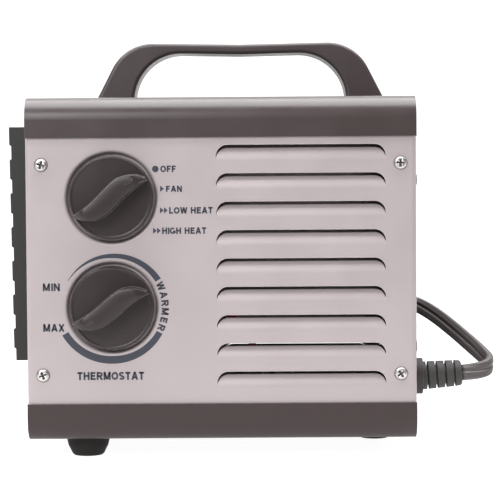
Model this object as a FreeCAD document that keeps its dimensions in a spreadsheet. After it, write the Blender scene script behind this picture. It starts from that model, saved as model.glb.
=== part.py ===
"""Ceramic space heater: a louvred metal box with a fixed handle, two knobs, a fan and a ceramic element.

Millimetres, +Z up. The outlet grille faces -X, the mains cord leaves towards +X and the control side
faces -Y. The origin is on the floor under the middle of the heater, knobs and grille included.
"""
import FreeCAD, Part
import math
import os
import re
import Sketcher
from FreeCAD import Placement, Rotation, Vector

doc = FreeCAD.newDocument("CeramicHeater")
sheet = doc.addObject("Spreadsheet::Sheet", "Dims")

SIZES = (
    ("casing_x", 3.7, "middle of the casing from the origin, along X"),
    ("casing_y", 7.2, "middle of the casing from the origin, along Y"),
    ("casing_length", 210, "front edge to rear edge"),
    ("casing_width", 168, "control side to far side"),
    ("casing_height", 185.4, "underside of the tray to top of the cover"),
    ("foot_height", 10.6, "floor to underside of the tray"),
    ("plate", 1.2, "steel sheet"),
    ("cover_skirt", 22.1, "height of the top cover's side"),
    ("tray_skirt", 20.3, "height of the bottom tray's side"),
    ("bend", 12, "outer radius of the cover's and tray's long edges"),
    ("panel_lap", 13.5, "edge of a side panel from the casing's top or bottom"),
    ("return_flange", 10, "width of a side panel's turned-in edge"),
    ("panel_fold", 2.6, "outer radius of a side panel's folded ends"),
    ("screw_inset", 8.6, "panel screw from the casing's front or rear edge"),
    ("screw_low", 35.8, "lower panel screws above the tray"),
    ("screw_high", 149.1, "upper panel screws above the tray"),
    ("screw_head", 3.7, "radius of a panel screw's head"),
    ("screw_shank", 1.7, "radius of a panel screw's shank"),
    ("louvre_start", -2.4, "front end of the louvres from the casing's middle"),
    ("louvre_length", 90.8, "length of a louvre"),
    ("louvre_end", 6.5, "length of a louvre's rounded end"),
    ("louvre_drop", 5.4, "height of a louvre's rounded end"),
    ("louvre_height", 8.6, "height of a louvre's sloping lip"),
    ("louvre_depth", 4.8, "how far a louvre's lip is pressed in"),
    ("louvre_gap", 1.6, "gap above a louvre's lip on the control side"),
    ("louvre_top", 159.3, "top edge of the highest louvre above the tray"),
    ("louvre_pitch", 15.25, "from one louvre to the next"),
    ("louvre_count", 9, "louvres on a side"),
    ("knob_x", -58.8, "knob axes from the casing's middle"),
    ("selector_z", 131.4, "selector knob above the tray"),
    ("thermostat_z", 72.3, "thermostat knob above the tray"),
    ("knob_radius", 22.4, "knob"),
    ("knob_face", 5, "knob's face in front of the panel"),
    ("knob_grip", 15.4, "top of the knob's grip in front of the panel"),
    ("knob_back", -2.6, "knob's back edge, inside the dish"),
    ("selector_angle", 32, "selector pointer above the horizontal, at off"),
    ("thermostat_angle", 207.5, "thermostat pointer, at its maximum"),
    ("dish_radius", 24.6, "mouth of the dish around a knob, without its rounded edge"),
    ("dish_lip", 1.6, "rounding of the dish's edge"),
    ("dish_rim", 3, "flat ring of the panel that is pressed with the dish"),
    ("dish_floor", 23.4, "floor radius of the dish"),
    ("dish_depth", 3.5, "depth of the dish"),
    ("shaft_radius", 3, "control shafts"),
    ("bushing_radius", 4.8, "threaded bushings of the controls"),
    ("grille_width", 140, "front grille, across"),
    ("grille_low", 42.8, "underside of the grille above the tray"),
    ("grille_height", 127.1, "front grille, up"),
    ("grille_top_depth", 9.2, "grille in front of the casing at its top, between bands"),
    ("grille_base_depth", 7.6, "the same at its underside"),
    ("band_proud", 1, "how far a band stands out"),
    ("band_low", 6.4, "first band above the grille's underside"),
    ("band_height", 11.4, "height of a band"),
    ("band_pitch", 18.4, "from one band to the next"),
    ("grille_wall", 2.4, "grille's wall"),
    ("duct_width", 112, "air duct, across"),
    ("duct_height", 120, "air duct, up"),
    ("duct_z", 106.5, "middle of the air duct above the tray"),
    ("duct_wall", 2.5, "wall of the air duct"),
    ("fan_radius", 46.5, "tip of the fan blades"),
    ("hub_radius", 13, "hub of the fan"),
    ("throat_radius", 49, "opening of the fan shroud"),
    ("spindle", 2, "radius of the motor shaft"),
    ("handle_x", 10, "middle of the handle from the casing's middle"),
    ("handle_foot", 83.5, "half of the handle's length at the cover"),
    ("handle_inside", 60.9, "half of the hand gap's length at the cover"),
    ("handle_height", 34.05, "handle above the cover"),
    ("handle_bar", 5.55, "thickness of the handle's bar"),
    ("handle_lean", 17.5, "how far a leg of the handle leans in"),
    ("handle_sag", 1.2, "how far the middle of the handle's bar dips"),
    ("handle_width", 26, "handle across"),
    ("handle_bend", 26, "radius of the handle's outer corners"),
    ("gap_bend", 27, "radius of the hand gap's corners"),
    ("handle_edge", 2, "rounding along both sides of the handle"),
    ("foot_radius", 12.2, "top of a rubber foot"),
    ("foot_tip", 8.8, "underside of a rubber foot"),
    ("front_foot_x", -74.8, "front feet from the casing's middle"),
    ("front_foot_y", 58, "front feet each side of the casing's middle"),
    ("rear_foot_x", 87, "rear foot from the casing's middle"),
    ("relief_y", 22.6, "strain relief from the control side's edge"),
    ("relief_z", 32.1, "strain relief above the tray"),
    ("relief_flange", 9.9, "radius of the strain relief's flange"),
    ("relief_sleeve", 7.7, "radius of its ribbed sleeve"),
    ("relief_length", 22.1, "length of its ribbed sleeve"),
    ("relief_tilt", 4, "how far the sleeve points up"),
    ("cord_width", 9.2, "flat cord across its two cores"),
    ("coil_x", 52, "middle of the coiled cord along X"),
    ("coil_y", 155, "middle of the coiled cord along Y"),
    ("coil_inner", 34, "inside of the coiled cord"),
    ("coil_outer", 59.5, "outside of the coiled cord"),
    ("coil_height", 13, "thickness of the coiled cord"),
)

for row, (alias, value, note) in enumerate(SIZES, start=1):
    sheet.set(f"A{row}", alias)
    sheet.set(f"B{row}", str(value))
    sheet.set(f"C{row}", note)
    sheet.setAlias(f"B{row}", alias)
doc.recompute()
ALIASES = {alias for alias, value, note in SIZES}

FRONT = "(casing_x - casing_length / 2)"
REAR = "(casing_x + casing_length / 2)"
NEAR = "(casing_y - casing_width / 2)"
FAR = "(casing_y + casing_width / 2)"
BASE = "foot_height"
TOP = "(foot_height + casing_height)"
DUCT_Z = "(foot_height + duct_z)"
ALONG = {
    "+X": Rotation(Vector(0, 1, 0), 90),
    "-X": Rotation(Vector(0, 1, 0), -90),
    "+Y": Rotation(Vector(1, 0, 0), -90),
    "-Y": Rotation(Vector(1, 0, 0), 90),
    "+Z": Rotation(),
    "-Z": Rotation(Vector(1, 0, 0), 180),
}
sub_parts = []


def formula(text):
    """The text as an expression, with every alias read from the sheet."""
    def lookup(word):
        return "Dims." + word.group() if word.group() in ALIASES else word.group()
    return re.sub(r"[a-z][a-z_]+", lookup, str(text))


def size(text):
    """The value of a formula."""
    return float(sheet.evalExpression(formula(text)))


def bind(thing, **values):
    """Bind each named size of an object to a formula."""
    for name, text in values.items():
        thing.setExpression(name, formula(text))
    return thing


def place(thing, x=0, y=0, z=0, along="+Z"):
    """Set an object down with its own Z axis turned to one of the frame's axes."""
    thing.Placement = Placement(Vector(), ALONG[along])
    for letter, text in zip("xyz", (x, y, z)):
        thing.setExpression("Placement.Base." + letter, formula(text))
    return thing


def sub_part(label, thing):
    """Name a finished piece and put it on the list of pieces to write."""
    thing.Label = label
    sub_parts.append(thing)
    return thing


def box(x, y, z):
    """A block between a low and a high limit along each axis."""
    block = doc.addObject("Part::Box", "Block")
    bind(block, **{side: f"({high}) - ({low})" for side, (low, high) in
                   zip(("Length", "Width", "Height"), (x, y, z))})
    return place(block, x[0], y[0], z[0])


def rod(x, y, z, radius, length, along="+Z"):
    """A cylinder that starts at a point and runs along an axis."""
    return place(bind(doc.addObject("Part::Cylinder", "Rod"), Radius=radius, Height=length), x, y, z, along)


def cone(x, y, z, start_radius, end_radius, length, along="+Z"):
    """A cone that starts at a point and runs along an axis."""
    frustum = bind(doc.addObject("Part::Cone", "Cone"), Radius1=start_radius, Radius2=end_radius, Height=length)
    return place(frustum, x, y, z, along)


def fused(*things):
    """One solid out of several that touch."""
    whole = doc.addObject("Part::MultiFuse", "Fused")
    whole.Shapes = list(things)
    return whole


def group(*things):
    """Separate solids kept as one piece of the list."""
    whole = doc.addObject("Part::Compound", "Group")
    whole.Links = list(things)
    return whole


def cut(base, *tools):
    """The base without the tools."""
    rest = doc.addObject("Part::Cut", "Cut")
    rest.Base = base
    rest.Tool = tools[0] if len(tools) == 1 else fused(*tools)
    return rest


def shaped(name, shape):
    """An object for a shape that Part's own functions have made."""
    thing = doc.addObject("Part::Feature", name)
    thing.Shape = shape
    return thing


def new_body(x=0, y=0, z=0, along="+Z"):
    """An empty PartDesign body."""
    return place(doc.addObject("PartDesign::Body", "Body"), x, y, z, along)


def sketch(body, plane, offset=0, turn=0):
    """A sketch parallel to one of the body's own planes: XY_Plane, XZ_Plane or YZ_Plane."""
    drawing = body.newObject("Sketcher::SketchObject", "Sketch")
    support = next(item for item in body.Origin.OriginFeatures if item.Role == plane)
    drawing.AttachmentSupport = [(support, "")]
    drawing.MapMode = "FlatFace"
    drawing.AttachmentOffset = Placement(Vector(), Rotation(Vector(0, 0, 1), size(turn)))
    drawing.setExpression("AttachmentOffset.Base.z", formula(offset))
    if turn != 0:
        drawing.setExpression("AttachmentOffset.Rotation.Angle", formula(turn))
    return drawing


def pin(drawing, points):
    """Hold points of a sketch at formulas from its origin: each is (geometry, point, x, y)."""
    rules, texts = [], []
    for geometry, point, x, y in points:
        for kind, text in (("DistanceX", x), ("DistanceY", y)):
            rules.append(Sketcher.Constraint(kind, -1, 1, geometry, point, size(text)))
            texts.append(text)
    for index, text in zip(drawing.addConstraint(rules), texts):
        drawing.setExpression(f"Constraints[{index}]", formula(text))


def outline(drawing, corners):
    """A closed outline of straight lines, each corner held in place."""
    points = [Vector(size(x), size(y), 0) for x, y in corners]
    lines = [Part.LineSegment(start, end) for start, end in zip(points, points[1:] + points[:1])]
    indices = drawing.addGeometry(lines)
    joints = zip(indices, indices[1:] + indices[:1])
    drawing.addConstraint([Sketcher.Constraint("Coincident", index, 2, following, 1)
                           for index, following in joints])
    pin(drawing, [(index, 1, x, y) for index, (x, y) in zip(indices, corners)])


def rectangle(drawing, x, y):
    """A rectangle between a low and a high limit along each axis of the sketch."""
    outline(drawing, ((x[0], y[0]), (x[1], y[0]), (x[1], y[1]), (x[0], y[1])))


def circle(drawing, x, y, radius):
    """A circle with its centre and radius bound to formulas."""
    index = drawing.addGeometry(Part.Circle(Vector(size(x), size(y), 0), Vector(0, 0, 1), size(radius)))
    pin(drawing, [(index, 3, x, y)])
    number = drawing.addConstraint(Sketcher.Constraint("Radius", index, size(radius)))
    drawing.setExpression(f"Constraints[{number}]", formula(radius))


def pad(body, drawing, length, back=False, middle=False):
    """Thicken a sketch along its normal, against it, or both ways."""
    feature = body.newObject("PartDesign::Pad", "Pad")
    feature.Profile = drawing
    feature.Reversed = back
    feature.Midplane = middle
    return bind(feature, Length=length)


def pocket(body, drawing, length=None, back=False):
    """Cut a sketch to a depth against its normal (along it when back), or right through both ways."""
    feature = body.newObject("PartDesign::Pocket", "Pocket")
    feature.Profile = drawing
    feature.Reversed = back
    if length is None:
        feature.Type = "ThroughAll"
        feature.Midplane = True
        return feature
    return bind(feature, Length=length)


def spin(body, drawing, kind="Revolution"):
    """Turn a sketch around its own vertical axis."""
    feature = body.newObject("PartDesign::" + kind, kind)
    feature.Profile = drawing
    feature.ReferenceAxis = (drawing, ["V_Axis"])
    feature.Angle = 360
    return feature


def round_edges(body, radius, chosen):
    """Fillet the edges of the body that the test picks."""
    doc.recompute()
    base = body.Tip
    names = [f"Edge{number}" for number, edge in enumerate(base.Shape.Edges, start=1) if chosen(edge)]
    feature = body.newObject("PartDesign::Fillet", "Fillet")
    feature.Base = (base, names)
    return bind(feature, Radius=radius)


def runs_along(edge, axis):
    """Whether a straight edge is parallel to an axis."""
    ends = [vertex.Point for vertex in edge.Vertexes]
    return len(ends) == 2 and abs((ends[1] - ends[0]).normalize().dot(axis)) > 0.9999


def tube(points, radius, end_share=0.45):
    """A round tube along straight runs joined by tangent arcs, and its length and arc radii."""
    spots = [Vector(*point) for point in points]
    edges, radii, start = [], [], spots[0]
    for before, corner, after in zip(spots, spots[1:], spots[2:]):
        incoming = (corner - before).normalize()
        outgoing = (after - corner).normalize()
        turn = incoming.getAngle(outgoing)
        reach = end_share * min(corner.distanceToPoint(before), after.distanceToPoint(corner))
        first, last = corner - incoming * reach, corner + outgoing * reach
        inward = (outgoing - incoming).normalize()
        bend_radius = reach / math.tan(turn / 2)
        middle = corner + inward * (bend_radius / math.cos(turn / 2) - bend_radius)
        edges += [Part.LineSegment(start, first).toShape(), Part.Arc(first, middle, last).toShape()]
        radii.append(bend_radius)
        start = last
    edges.append(Part.LineSegment(start, spots[-1]).toShape())
    path = Part.Wire(edges)
    ring = Part.Wire(Part.Circle(spots[0], spots[1] - spots[0], radius).toShape())
    solid = path.makePipeShell([ring], True, False)
    wanted = math.pi * radius ** 2 * path.Length
    if abs(solid.Volume - wanted) > 0.01 * wanted:
        raise ValueError(f"tube volume {solid.Volume:.0f} is not its section times its length {wanted:.0f}")
    return solid, path.Length, radii


# ---------------------------------------------------------------- casing

def channel(label, edge, flat, inside):
    """A sheet channel across the casing: two skirts, a flat web and rounded long edges."""
    body = sub_part(label, new_body())
    side = sketch(body, "YZ_Plane", FRONT)
    outline(side, ((NEAR, edge), (NEAR, flat), (FAR, flat), (FAR, edge), (f"{FAR} - plate", edge),
                   (f"{FAR} - plate", inside), (f"{NEAR} + plate", inside), (f"{NEAR} + plate", edge)))
    pad(body, side, "casing_length")
    for level, radius in ((flat, "bend"), (inside, "bend - plate")):
        height = size(level)
        round_edges(body, radius, lambda edge_line: runs_along(edge_line, Vector(1, 0, 0))
                    and abs(edge_line.CenterOfMass.z - height) < 0.01)
    return body


def holes(body, plane, spots, radius):
    """Round holes through a body, at the given places of a sketch plane."""
    drawing = sketch(body, plane)
    for x, y in spots:
        circle(drawing, x, y, radius)
    return pocket(body, drawing)


FEET = {
    "front_foot_near": ("casing_x + front_foot_x", "casing_y - front_foot_y"),
    "front_foot_far": ("casing_x + front_foot_x", "casing_y + front_foot_y"),
    "rear_foot": ("casing_x + rear_foot_x", "casing_y"),
}
HANDLE_SCREWS = [(f"casing_x + handle_x {sign} (handle_foot + handle_inside) / 2", "casing_y") for sign in "-+"]

top_cover = channel("top_cover", f"{TOP} - cover_skirt", TOP, f"{TOP} - plate")
holes(top_cover, "XY_Plane", HANDLE_SCREWS, "screw_shank + 0.3")
bottom_tray = channel("bottom_tray", f"{BASE} + tray_skirt", BASE, f"{BASE} + plate")
holes(bottom_tray, "XY_Plane", FEET.values(), "screw_shank + 0.3")

SCREW_SPOTS = [(x, f"{BASE} + {z}") for x in (f"{FRONT} + screw_inset", f"{REAR} - screw_inset")
               for z in ("screw_low", "screw_high")]
PANEL_Z = (f"{BASE} + panel_lap", f"{TOP} - panel_lap")
REAR_SCREW_Z = (f"{BASE} + 50", f"{BASE} + 140")


def louvres(face, inward, gap):
    """The openings in a side panel and the curved lips that are pressed in behind them, a gap below their tops."""
    start = size("casing_x + louvre_start")
    length, rounded, drop = size("louvre_length"), size("louvre_end"), size("louvre_drop")
    height, depth, thickness = size("louvre_height"), size("louvre_depth"), size("plate")
    curve = (height ** 2 + depth ** 2) / (2 * depth)
    swell = math.sqrt(0.5)
    face_y = size(face)
    windows, lips = [], []
    for index in range(int(size("louvre_count"))):
        top = size(f"{BASE} + louvre_top - {index} * louvre_pitch")
        low, shoulder = top - height, top - drop
        front, rear = start, start + length
        corner_arcs = []
        for end, centre, side in ((front, front + rounded, -1), (rear, rear - rounded, 1)):
            bulge = (centre + side * rounded * swell, shoulder + drop * swell)
            corner_arcs.append(((end, shoulder), bulge, (centre, top)))
        left, right = [[Vector(x, face_y - inward * thickness, z) for x, z in arc] for arc in corner_arcs]
        low_left, low_right = (Vector(x, face_y - inward * thickness, low) for x in (front, rear))
        rim = Part.Wire([
            Part.LineSegment(low_left, left[0]).toShape(), Part.Arc(*left).toShape(),
            Part.LineSegment(left[2], right[2]).toShape(), Part.Arc(*reversed(right)).toShape(),
            Part.LineSegment(right[0], low_right).toShape(), Part.LineSegment(low_right, low_left).toShape()])
        opening = Part.Face(rim).extrude(Vector(0, inward * (depth + 3 * thickness), 0))
        windows.append(opening)
        centre = Vector(front, face_y + inward * curve, low)
        drum = Part.makeCylinder(curve, length, centre, Vector(1, 0, 0))
        core = Part.makeCylinder(curve - thickness, length, centre, Vector(1, 0, 0))
        lips.append(drum.cut(core).common(opening).common(opening.translated(Vector(0, 0, -size(gap)))))
    return Part.makeCompound(windows), Part.makeCompound(lips)


def dish(x, y, z):
    """The round dish behind a knob, open towards -Y, with a rounded edge and a hole for the control's bushing."""
    shell = new_body(x, y, z)
    half = sketch(shell, "XY_Plane")
    outline(half, (("dish_radius + dish_rim", 0), ("dish_radius", 0), ("dish_floor", "dish_depth"),
                   ("bushing_radius + 0.2", "dish_depth"), ("bushing_radius + 0.2", "dish_depth + plate"),
                   ("dish_floor + plate", "dish_depth + plate"), ("dish_radius + plate", "plate"),
                   ("dish_radius + dish_rim", "plate")))
    spin(shell, half)
    round_edges(shell, "dish_lip", lambda edge: isinstance(edge.Curve, Part.Circle)
                and abs(edge.Curve.Radius - size("dish_radius")) < 0.01)
    return shell


def side_panel(label, face, inward, gap, knobs):
    """A steel side with turned-in ends and louvres, and a dish and shaft hole for each knob."""
    sign = "+" if inward > 0 else "-"
    axis = "+Y" if inward > 0 else "-Y"

    def behind(distance):
        return f"{face} {sign} ({distance})"

    blank = new_body()
    section = sketch(blank, "XY_Plane", PANEL_Z[0])
    outer, inner, turned_in = behind(0), behind("plate"), behind("plate + return_flange")
    outline(section, ((FRONT, outer), (REAR, outer), (REAR, turned_in), (f"{REAR} - plate", turned_in),
                      (f"{REAR} - plate", inner), (f"{FRONT} + plate", inner),
                      (f"{FRONT} + plate", turned_in), (FRONT, turned_in)))
    pad(blank, section, f"{PANEL_Z[1]} - ({PANEL_Z[0]})")
    for level, radius in ((outer, "panel_fold"), (inner, "panel_fold - plate")):
        fold_y = size(level)
        round_edges(blank, radius, lambda edge: runs_along(edge, Vector(0, 0, 1))
                    and abs(edge.CenterOfMass.y - fold_y) < 0.01)
    windows, lips = louvres(face, inward, gap)
    tools = [shaped("Windows", windows)]
    for x, z in SCREW_SPOTS:
        tools.append(rod(x, behind(-1), z, "screw_shank + 0.15", "plate + 2", axis))
    for z in REAR_SCREW_Z:
        tools.append(rod(f"{REAR} - 2 * plate", behind("plate + return_flange / 2"), z,
                         "screw_shank + 0.15", "3 * plate", "+X"))
    added = [shaped("Lips", lips)]
    for height in knobs:
        spot = ("casing_x + knob_x", f"{BASE} + {height}")
        tools.append(rod(spot[0], behind(-1), spot[1], "dish_radius + dish_rim", "plate + 2", axis))
        added.append(dish(spot[0], face, spot[1]))
    return sub_part(label, fused(cut(blank, *tools), *added))


side_panel("control_side_panel", f"({NEAR} + plate)", 1, "louvre_gap", ("selector_z", "thermostat_z"))
side_panel("far_side_panel", f"({FAR} - plate)", -1, 0, ())

FACE_Y = (f"{NEAR} + plate + panel_fold + 0.1", f"{FAR} - plate - panel_fold - 0.1")
FACE_Z = (f"{BASE} + plate + 0.2", f"{TOP} - plate - 0.2")
front_panel = sub_part("front_panel", new_body())
blank = sketch(front_panel, "YZ_Plane", f"{FRONT} + plate")
rectangle(blank, FACE_Y, FACE_Z)
rectangle(blank, ("casing_y - duct_width / 2 + 4", "casing_y + duct_width / 2 - 4"),
          (f"{DUCT_Z} - duct_height / 2 + 4", f"{DUCT_Z} + duct_height / 2 - 4"))
pad(front_panel, blank, "plate")
round_edges(front_panel, "bend - 2 * plate", lambda edge: runs_along(edge, Vector(1, 0, 0))
            and abs(edge.CenterOfMass.y - size("casing_y")) > size("casing_width / 2 - 4"))

rear_plate = new_body()
blank = sketch(rear_plate, "YZ_Plane", f"{REAR} - plate")
rectangle(blank, FACE_Y, FACE_Z)
pad(rear_plate, blank, "2 * plate", back=True)
round_edges(rear_plate, "bend - 2 * plate", lambda edge: runs_along(edge, Vector(1, 0, 0))
            and abs(edge.CenterOfMass.y - size("casing_y")) > size("casing_width / 2 - 4"))
holes(rear_plate, "YZ_Plane", ((f"{NEAR} + relief_y", f"{BASE} + relief_z"),), "relief_sleeve - 1.2")
REAR_SCREWS = [(y, z) for z in REAR_SCREW_Z for y in
               (f"{NEAR} + 2 * plate + return_flange / 2", f"{FAR} - 2 * plate - return_flange / 2")]
holes(rear_plate, "YZ_Plane", REAR_SCREWS, "screw_shank + 0.15")
INLET_X = (f"{REAR} - 4 * plate", f"{REAR}")
inlet_slots = []
for column in range(3):
    left = f"casing_y - 49.5 + {column} * 34"
    for rung in range(12):
        low = f"{DUCT_Z} - 48 + {rung} * 8.4"
        inlet_slots.append(box(INLET_X, (left, f"{left} + 31"), (low, f"{low} + 4.2")))
sub_part("rear_panel", cut(rear_plate, group(*inlet_slots)))


OPPOSITE = {"+X": "-X", "-X": "+X", "+Y": "-Y", "-Y": "+Y"}


def screw(x, y, z, outward, rise="1.7", length=8):
    """A pan-head screw whose head sits on a face and points outward, with a cross recess in it."""
    head = cone(x, y, z, "screw_head", "screw_head * 0.72", rise, outward)
    shank = rod(x, y, z, "screw_shank", length, OPPOSITE[outward])
    sign = outward[0]
    bars = []
    for across, up in (("0.45", "screw_head * 0.6"), ("screw_head * 0.6", "0.45")):
        if outward[1] == "X":
            depth = sorted((f"{x} {sign} ({rise} - 1)", f"{x} {sign} 2"), key=size)
            bars.append(box(depth, (f"{y} - {across}", f"{y} + {across}"), (f"{z} - {up}", f"{z} + {up}")))
        else:
            depth = sorted((f"{y} {sign} ({rise} - 1)", f"{y} {sign} 2"), key=size)
            bars.append(box((f"{x} - {across}", f"{x} + {across}"), depth, (f"{z} - {up}", f"{z} + {up}")))
    return cut(fused(head, shank), *bars)


sub_part("panel_screws", group(*[screw(x, y, z, outward) for x, z in SCREW_SPOTS for y, outward in
                                 ((f"({NEAR} + plate)", "-Y"), (f"({FAR} - plate)", "+Y"))]))
sub_part("rear_panel_screws", group(*[screw(REAR, y, z, "+X", "0.5") for y, z in REAR_SCREWS]))

# ---------------------------------------------------------------- front grille

grille_block = new_body()
profile = sketch(grille_block, "XZ_Plane", "-casing_y")
GRILLE_LOW = f"({BASE} + grille_low)"
GRILLE_TOP = f"({GRILLE_LOW} + grille_height)"


def grille_face(height, proud=0):
    """The grille's face at a height above its underside: it leans out a little towards its top."""
    slope = "(grille_top_depth - grille_base_depth) / grille_height"
    return f"{FRONT} - grille_base_depth - {slope} * ({height}) - {proud}"


steps = [(f"{FRONT} + plate", GRILLE_LOW), (grille_face(0), GRILLE_LOW)]
for index in range(7):
    low = f"band_low + {index} * band_pitch"
    high = f"{low} + band_height" if index < 6 else "grille_height"
    steps.append((grille_face(low), f"{GRILLE_LOW} + {low}"))
    steps.append((grille_face(low, "band_proud"), f"{GRILLE_LOW} + {low} + 0.6"))
    if index < 6:
        steps.append((grille_face(high, "band_proud"), f"{GRILLE_LOW} + {high} - 0.6"))
        steps.append((grille_face(high), f"{GRILLE_LOW} + {high}"))
    else:
        steps.append((grille_face(high, "band_proud"), GRILLE_TOP))
steps.append((f"{FRONT} + plate", GRILLE_TOP))
outline(profile, steps)
pad(grille_block, profile, "grille_width", middle=True)
hollow = sketch(grille_block, "YZ_Plane", f"{FRONT} + plate")
rectangle(hollow, ("casing_y - grille_width / 2 + grille_wall", "casing_y + grille_width / 2 - grille_wall"),
          (f"{GRILLE_LOW} + grille_wall", f"{GRILLE_TOP} - grille_wall"))
pocket(grille_block, hollow, "plate + grille_base_depth - grille_wall")
OUTLET_X = (f"{FRONT} - grille_top_depth - 2 * band_proud", f"{FRONT} + plate")
outlet_slots = []
for column in range(4):
    left = f"casing_y - 54 + {column} * 27.5"
    for band in range(6):
        middle = f"{GRILLE_LOW} + band_low + {band} * band_pitch + band_height / 2"
        gap = f"{GRILLE_LOW} + band_low + band_height + {band} * band_pitch"
        for low, high in ((f"{middle} - 1.6", f"{middle} + 1.6"),
                          (f"{gap} + 0.6", f"{gap} + band_pitch - band_height - 0.6")):
            outlet_slots.append(box(OUTLET_X, (left, f"{left} + 25.5"), (low, high)))
GRILLE_SCREWS = [(f"casing_y {side} 62", f"{GRILLE_LOW} + {up}") for side in "-+"
                 for up in ("12", "grille_height - 12")]
bosses = [cut(rod(f"{FRONT} - 4.6", y, z, 4, "plate + 4.6", "+X"),
              rod(f"{FRONT} - 3", y, z, "screw_shank + 0.05", "plate + 4", "+X")) for y, z in GRILLE_SCREWS]
sub_part("front_grille", fused(cut(grille_block, group(*outlet_slots)), *bosses))
sub_part("grille_screws", group(*[screw(f"({FRONT} + 2 * plate)", y, z, "+X", length=4.6) for y, z in GRILLE_SCREWS]))
holes(front_panel, "YZ_Plane", GRILLE_SCREWS, "screw_shank + 0.15")

# ---------------------------------------------------------------- handle

handle = sub_part("handle", new_body("casing_x + handle_x", "casing_y", TOP))
strap = sketch(handle, "XZ_Plane")
INSIDE_TOP = "(handle_height - handle_bar)"
outline(strap, (
    ("-handle_foot", 0), ("-handle_foot + handle_lean", "handle_height"), (0, "handle_height - handle_sag"),
    ("handle_foot - handle_lean", "handle_height"), ("handle_foot", 0), ("handle_inside", 0),
    ("handle_inside", INSIDE_TOP), (0, f"{INSIDE_TOP} - handle_sag"),
    ("-handle_inside", INSIDE_TOP), ("-handle_inside", 0)))
pad(handle, strap, "handle_width", middle=True)


def handle_corner(edge, inner):
    """Whether an edge across the handle is one of its outer or inner corners."""
    middle = edge.CenterOfMass
    inside = abs(middle.x) < size("handle_inside + 0.1") and middle.z < size(f"{INSIDE_TOP} + 0.1")
    return runs_along(edge, Vector(0, 1, 0)) and middle.z > 1 and abs(middle.x) > 1 and inside == inner


def handle_side(edge):
    """Whether an edge lies on one of the handle's two side faces, clear of the cover."""
    limits = edge.BoundBox
    return limits.YLength < 0.01 and limits.ZMax > 0.01


round_edges(handle, "handle_bend", lambda edge: handle_corner(edge, False))
round_edges(handle, "gap_bend", lambda edge: handle_corner(edge, True))
round_edges(handle, "handle_edge", handle_side)
bores = sketch(handle, "XY_Plane")
for side in "-+":
    circle(bores, f"0 {side} (handle_foot + handle_inside) / 2", 0, "screw_shank + 0.05")
pocket(handle, bores, 12, back=True)
sub_part("handle_screws", group(*[fused(
    cone(x, y, f"{TOP} - plate", "screw_head", "screw_head * 0.72", 1.7, "-Z"),
    rod(x, y, f"{TOP} - plate", "screw_shank", 12)) for x, y in HANDLE_SCREWS]))

# ---------------------------------------------------------------- feet

for label, (x, y) in FEET.items():
    foot = sub_part(label, new_body(x, y))
    half = sketch(foot, "XZ_Plane")
    outline(half, (("screw_head + 0.8", 0), ("foot_tip - 0.9", 0), ("foot_tip", "0.9"),
                   ("(foot_tip + foot_radius) / 2 + 0.5", "foot_height / 2"), ("foot_radius", "foot_height"),
                   ("screw_shank + 0.2", "foot_height"), ("screw_shank + 0.2", "4"), ("screw_head + 0.8", "4")))
    spin(foot, half)
sub_part("foot_screws", group(*[fused(rod(x, y, "1.6", "screw_head", "2.4"), rod(x, y, "4", "screw_shank", 14))
                                for x, y in FEET.values()]))

# ---------------------------------------------------------------- controls

PANEL_FACE = f"({NEAR} + plate)"
DISH_BACK = f"({PANEL_FACE} + dish_depth + plate)"
KNOB_X = "(casing_x + knob_x)"


def leaf(height, turn):
    """A knob's grip: a leaf with an S-shaped spine, the same when turned by half a turn."""
    unit, level, tall = size("knob_radius / 22.4"), size("knob_face"), size("knob_grip - knob_face")
    edge = [Vector(x * unit, y * unit, level) for x, y in
            ((-21.2, 2.6), (-10, 3.2), (0, 5.5), (8, 6.8), (15.5, 5.2), (21, 0.5))]
    opposite = [Vector(-point.x, -point.y, level) for point in edge]
    curves = []
    for points in (edge, opposite):
        curve = Part.BSplineCurve()
        curve.interpolate(points)
        curves.append(curve.toShape())
    rim = Part.Wire([curves[0], Part.LineSegment(edge[-1], opposite[0]).toShape(),
                     curves[1], Part.LineSegment(opposite[-1], edge[0]).toShape()])
    block = Part.Face(rim).extrude(Vector(0, 0, tall))
    top_edges = [line for line in block.Edges if line.BoundBox.ZMin > level + tall - 0.01]
    block = block.makeFillet(0.8, top_edges)
    mark = Part.makeBox(6, 1, 1, Vector(11 * unit, 0.4, level + tall - 0.4))
    grip = shaped("Grip", block.cut(mark))
    place(grip, KNOB_X, PANEL_FACE, height)
    grip.Placement.Rotation = ALONG["-Y"].multiply(Rotation(Vector(0, 0, 1), size(turn)))
    return grip


def knob(label, height, turn):
    """A knob with a hollow back, a boss for its shaft and a leaf-shaped grip across its face."""
    body = new_body(KNOB_X, PANEL_FACE, height, "-Y")
    half = sketch(body, "XZ_Plane")
    outline(half, ((0, "-0.9"), (6.5, "-0.9"), (6.5, "knob_face - 3"), ("knob_radius - 2", "knob_face - 3"),
                   ("knob_radius - 2", "knob_back"), ("knob_radius", "knob_back"),
                   ("knob_radius", "knob_face - 0.8"), ("knob_radius - 0.8", "knob_face"), (0, "knob_face")))
    spin(body, half)
    bore = rod(KNOB_X, f"{PANEL_FACE} - 12", height, "shaft_radius + 0.05", 14, "+Y")
    sub_part(label, cut(fused(body, leaf(height, turn)), bore))


def shaft(label, height):
    """A control shaft from inside the knob's grip to the back of its switch."""
    sub_part(label, rod(KNOB_X, f"{PANEL_FACE} - 11.9", f"{BASE} + {height}", "shaft_radius",
                        "11.9 + dish_depth + plate + 10", "+Y"))


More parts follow.
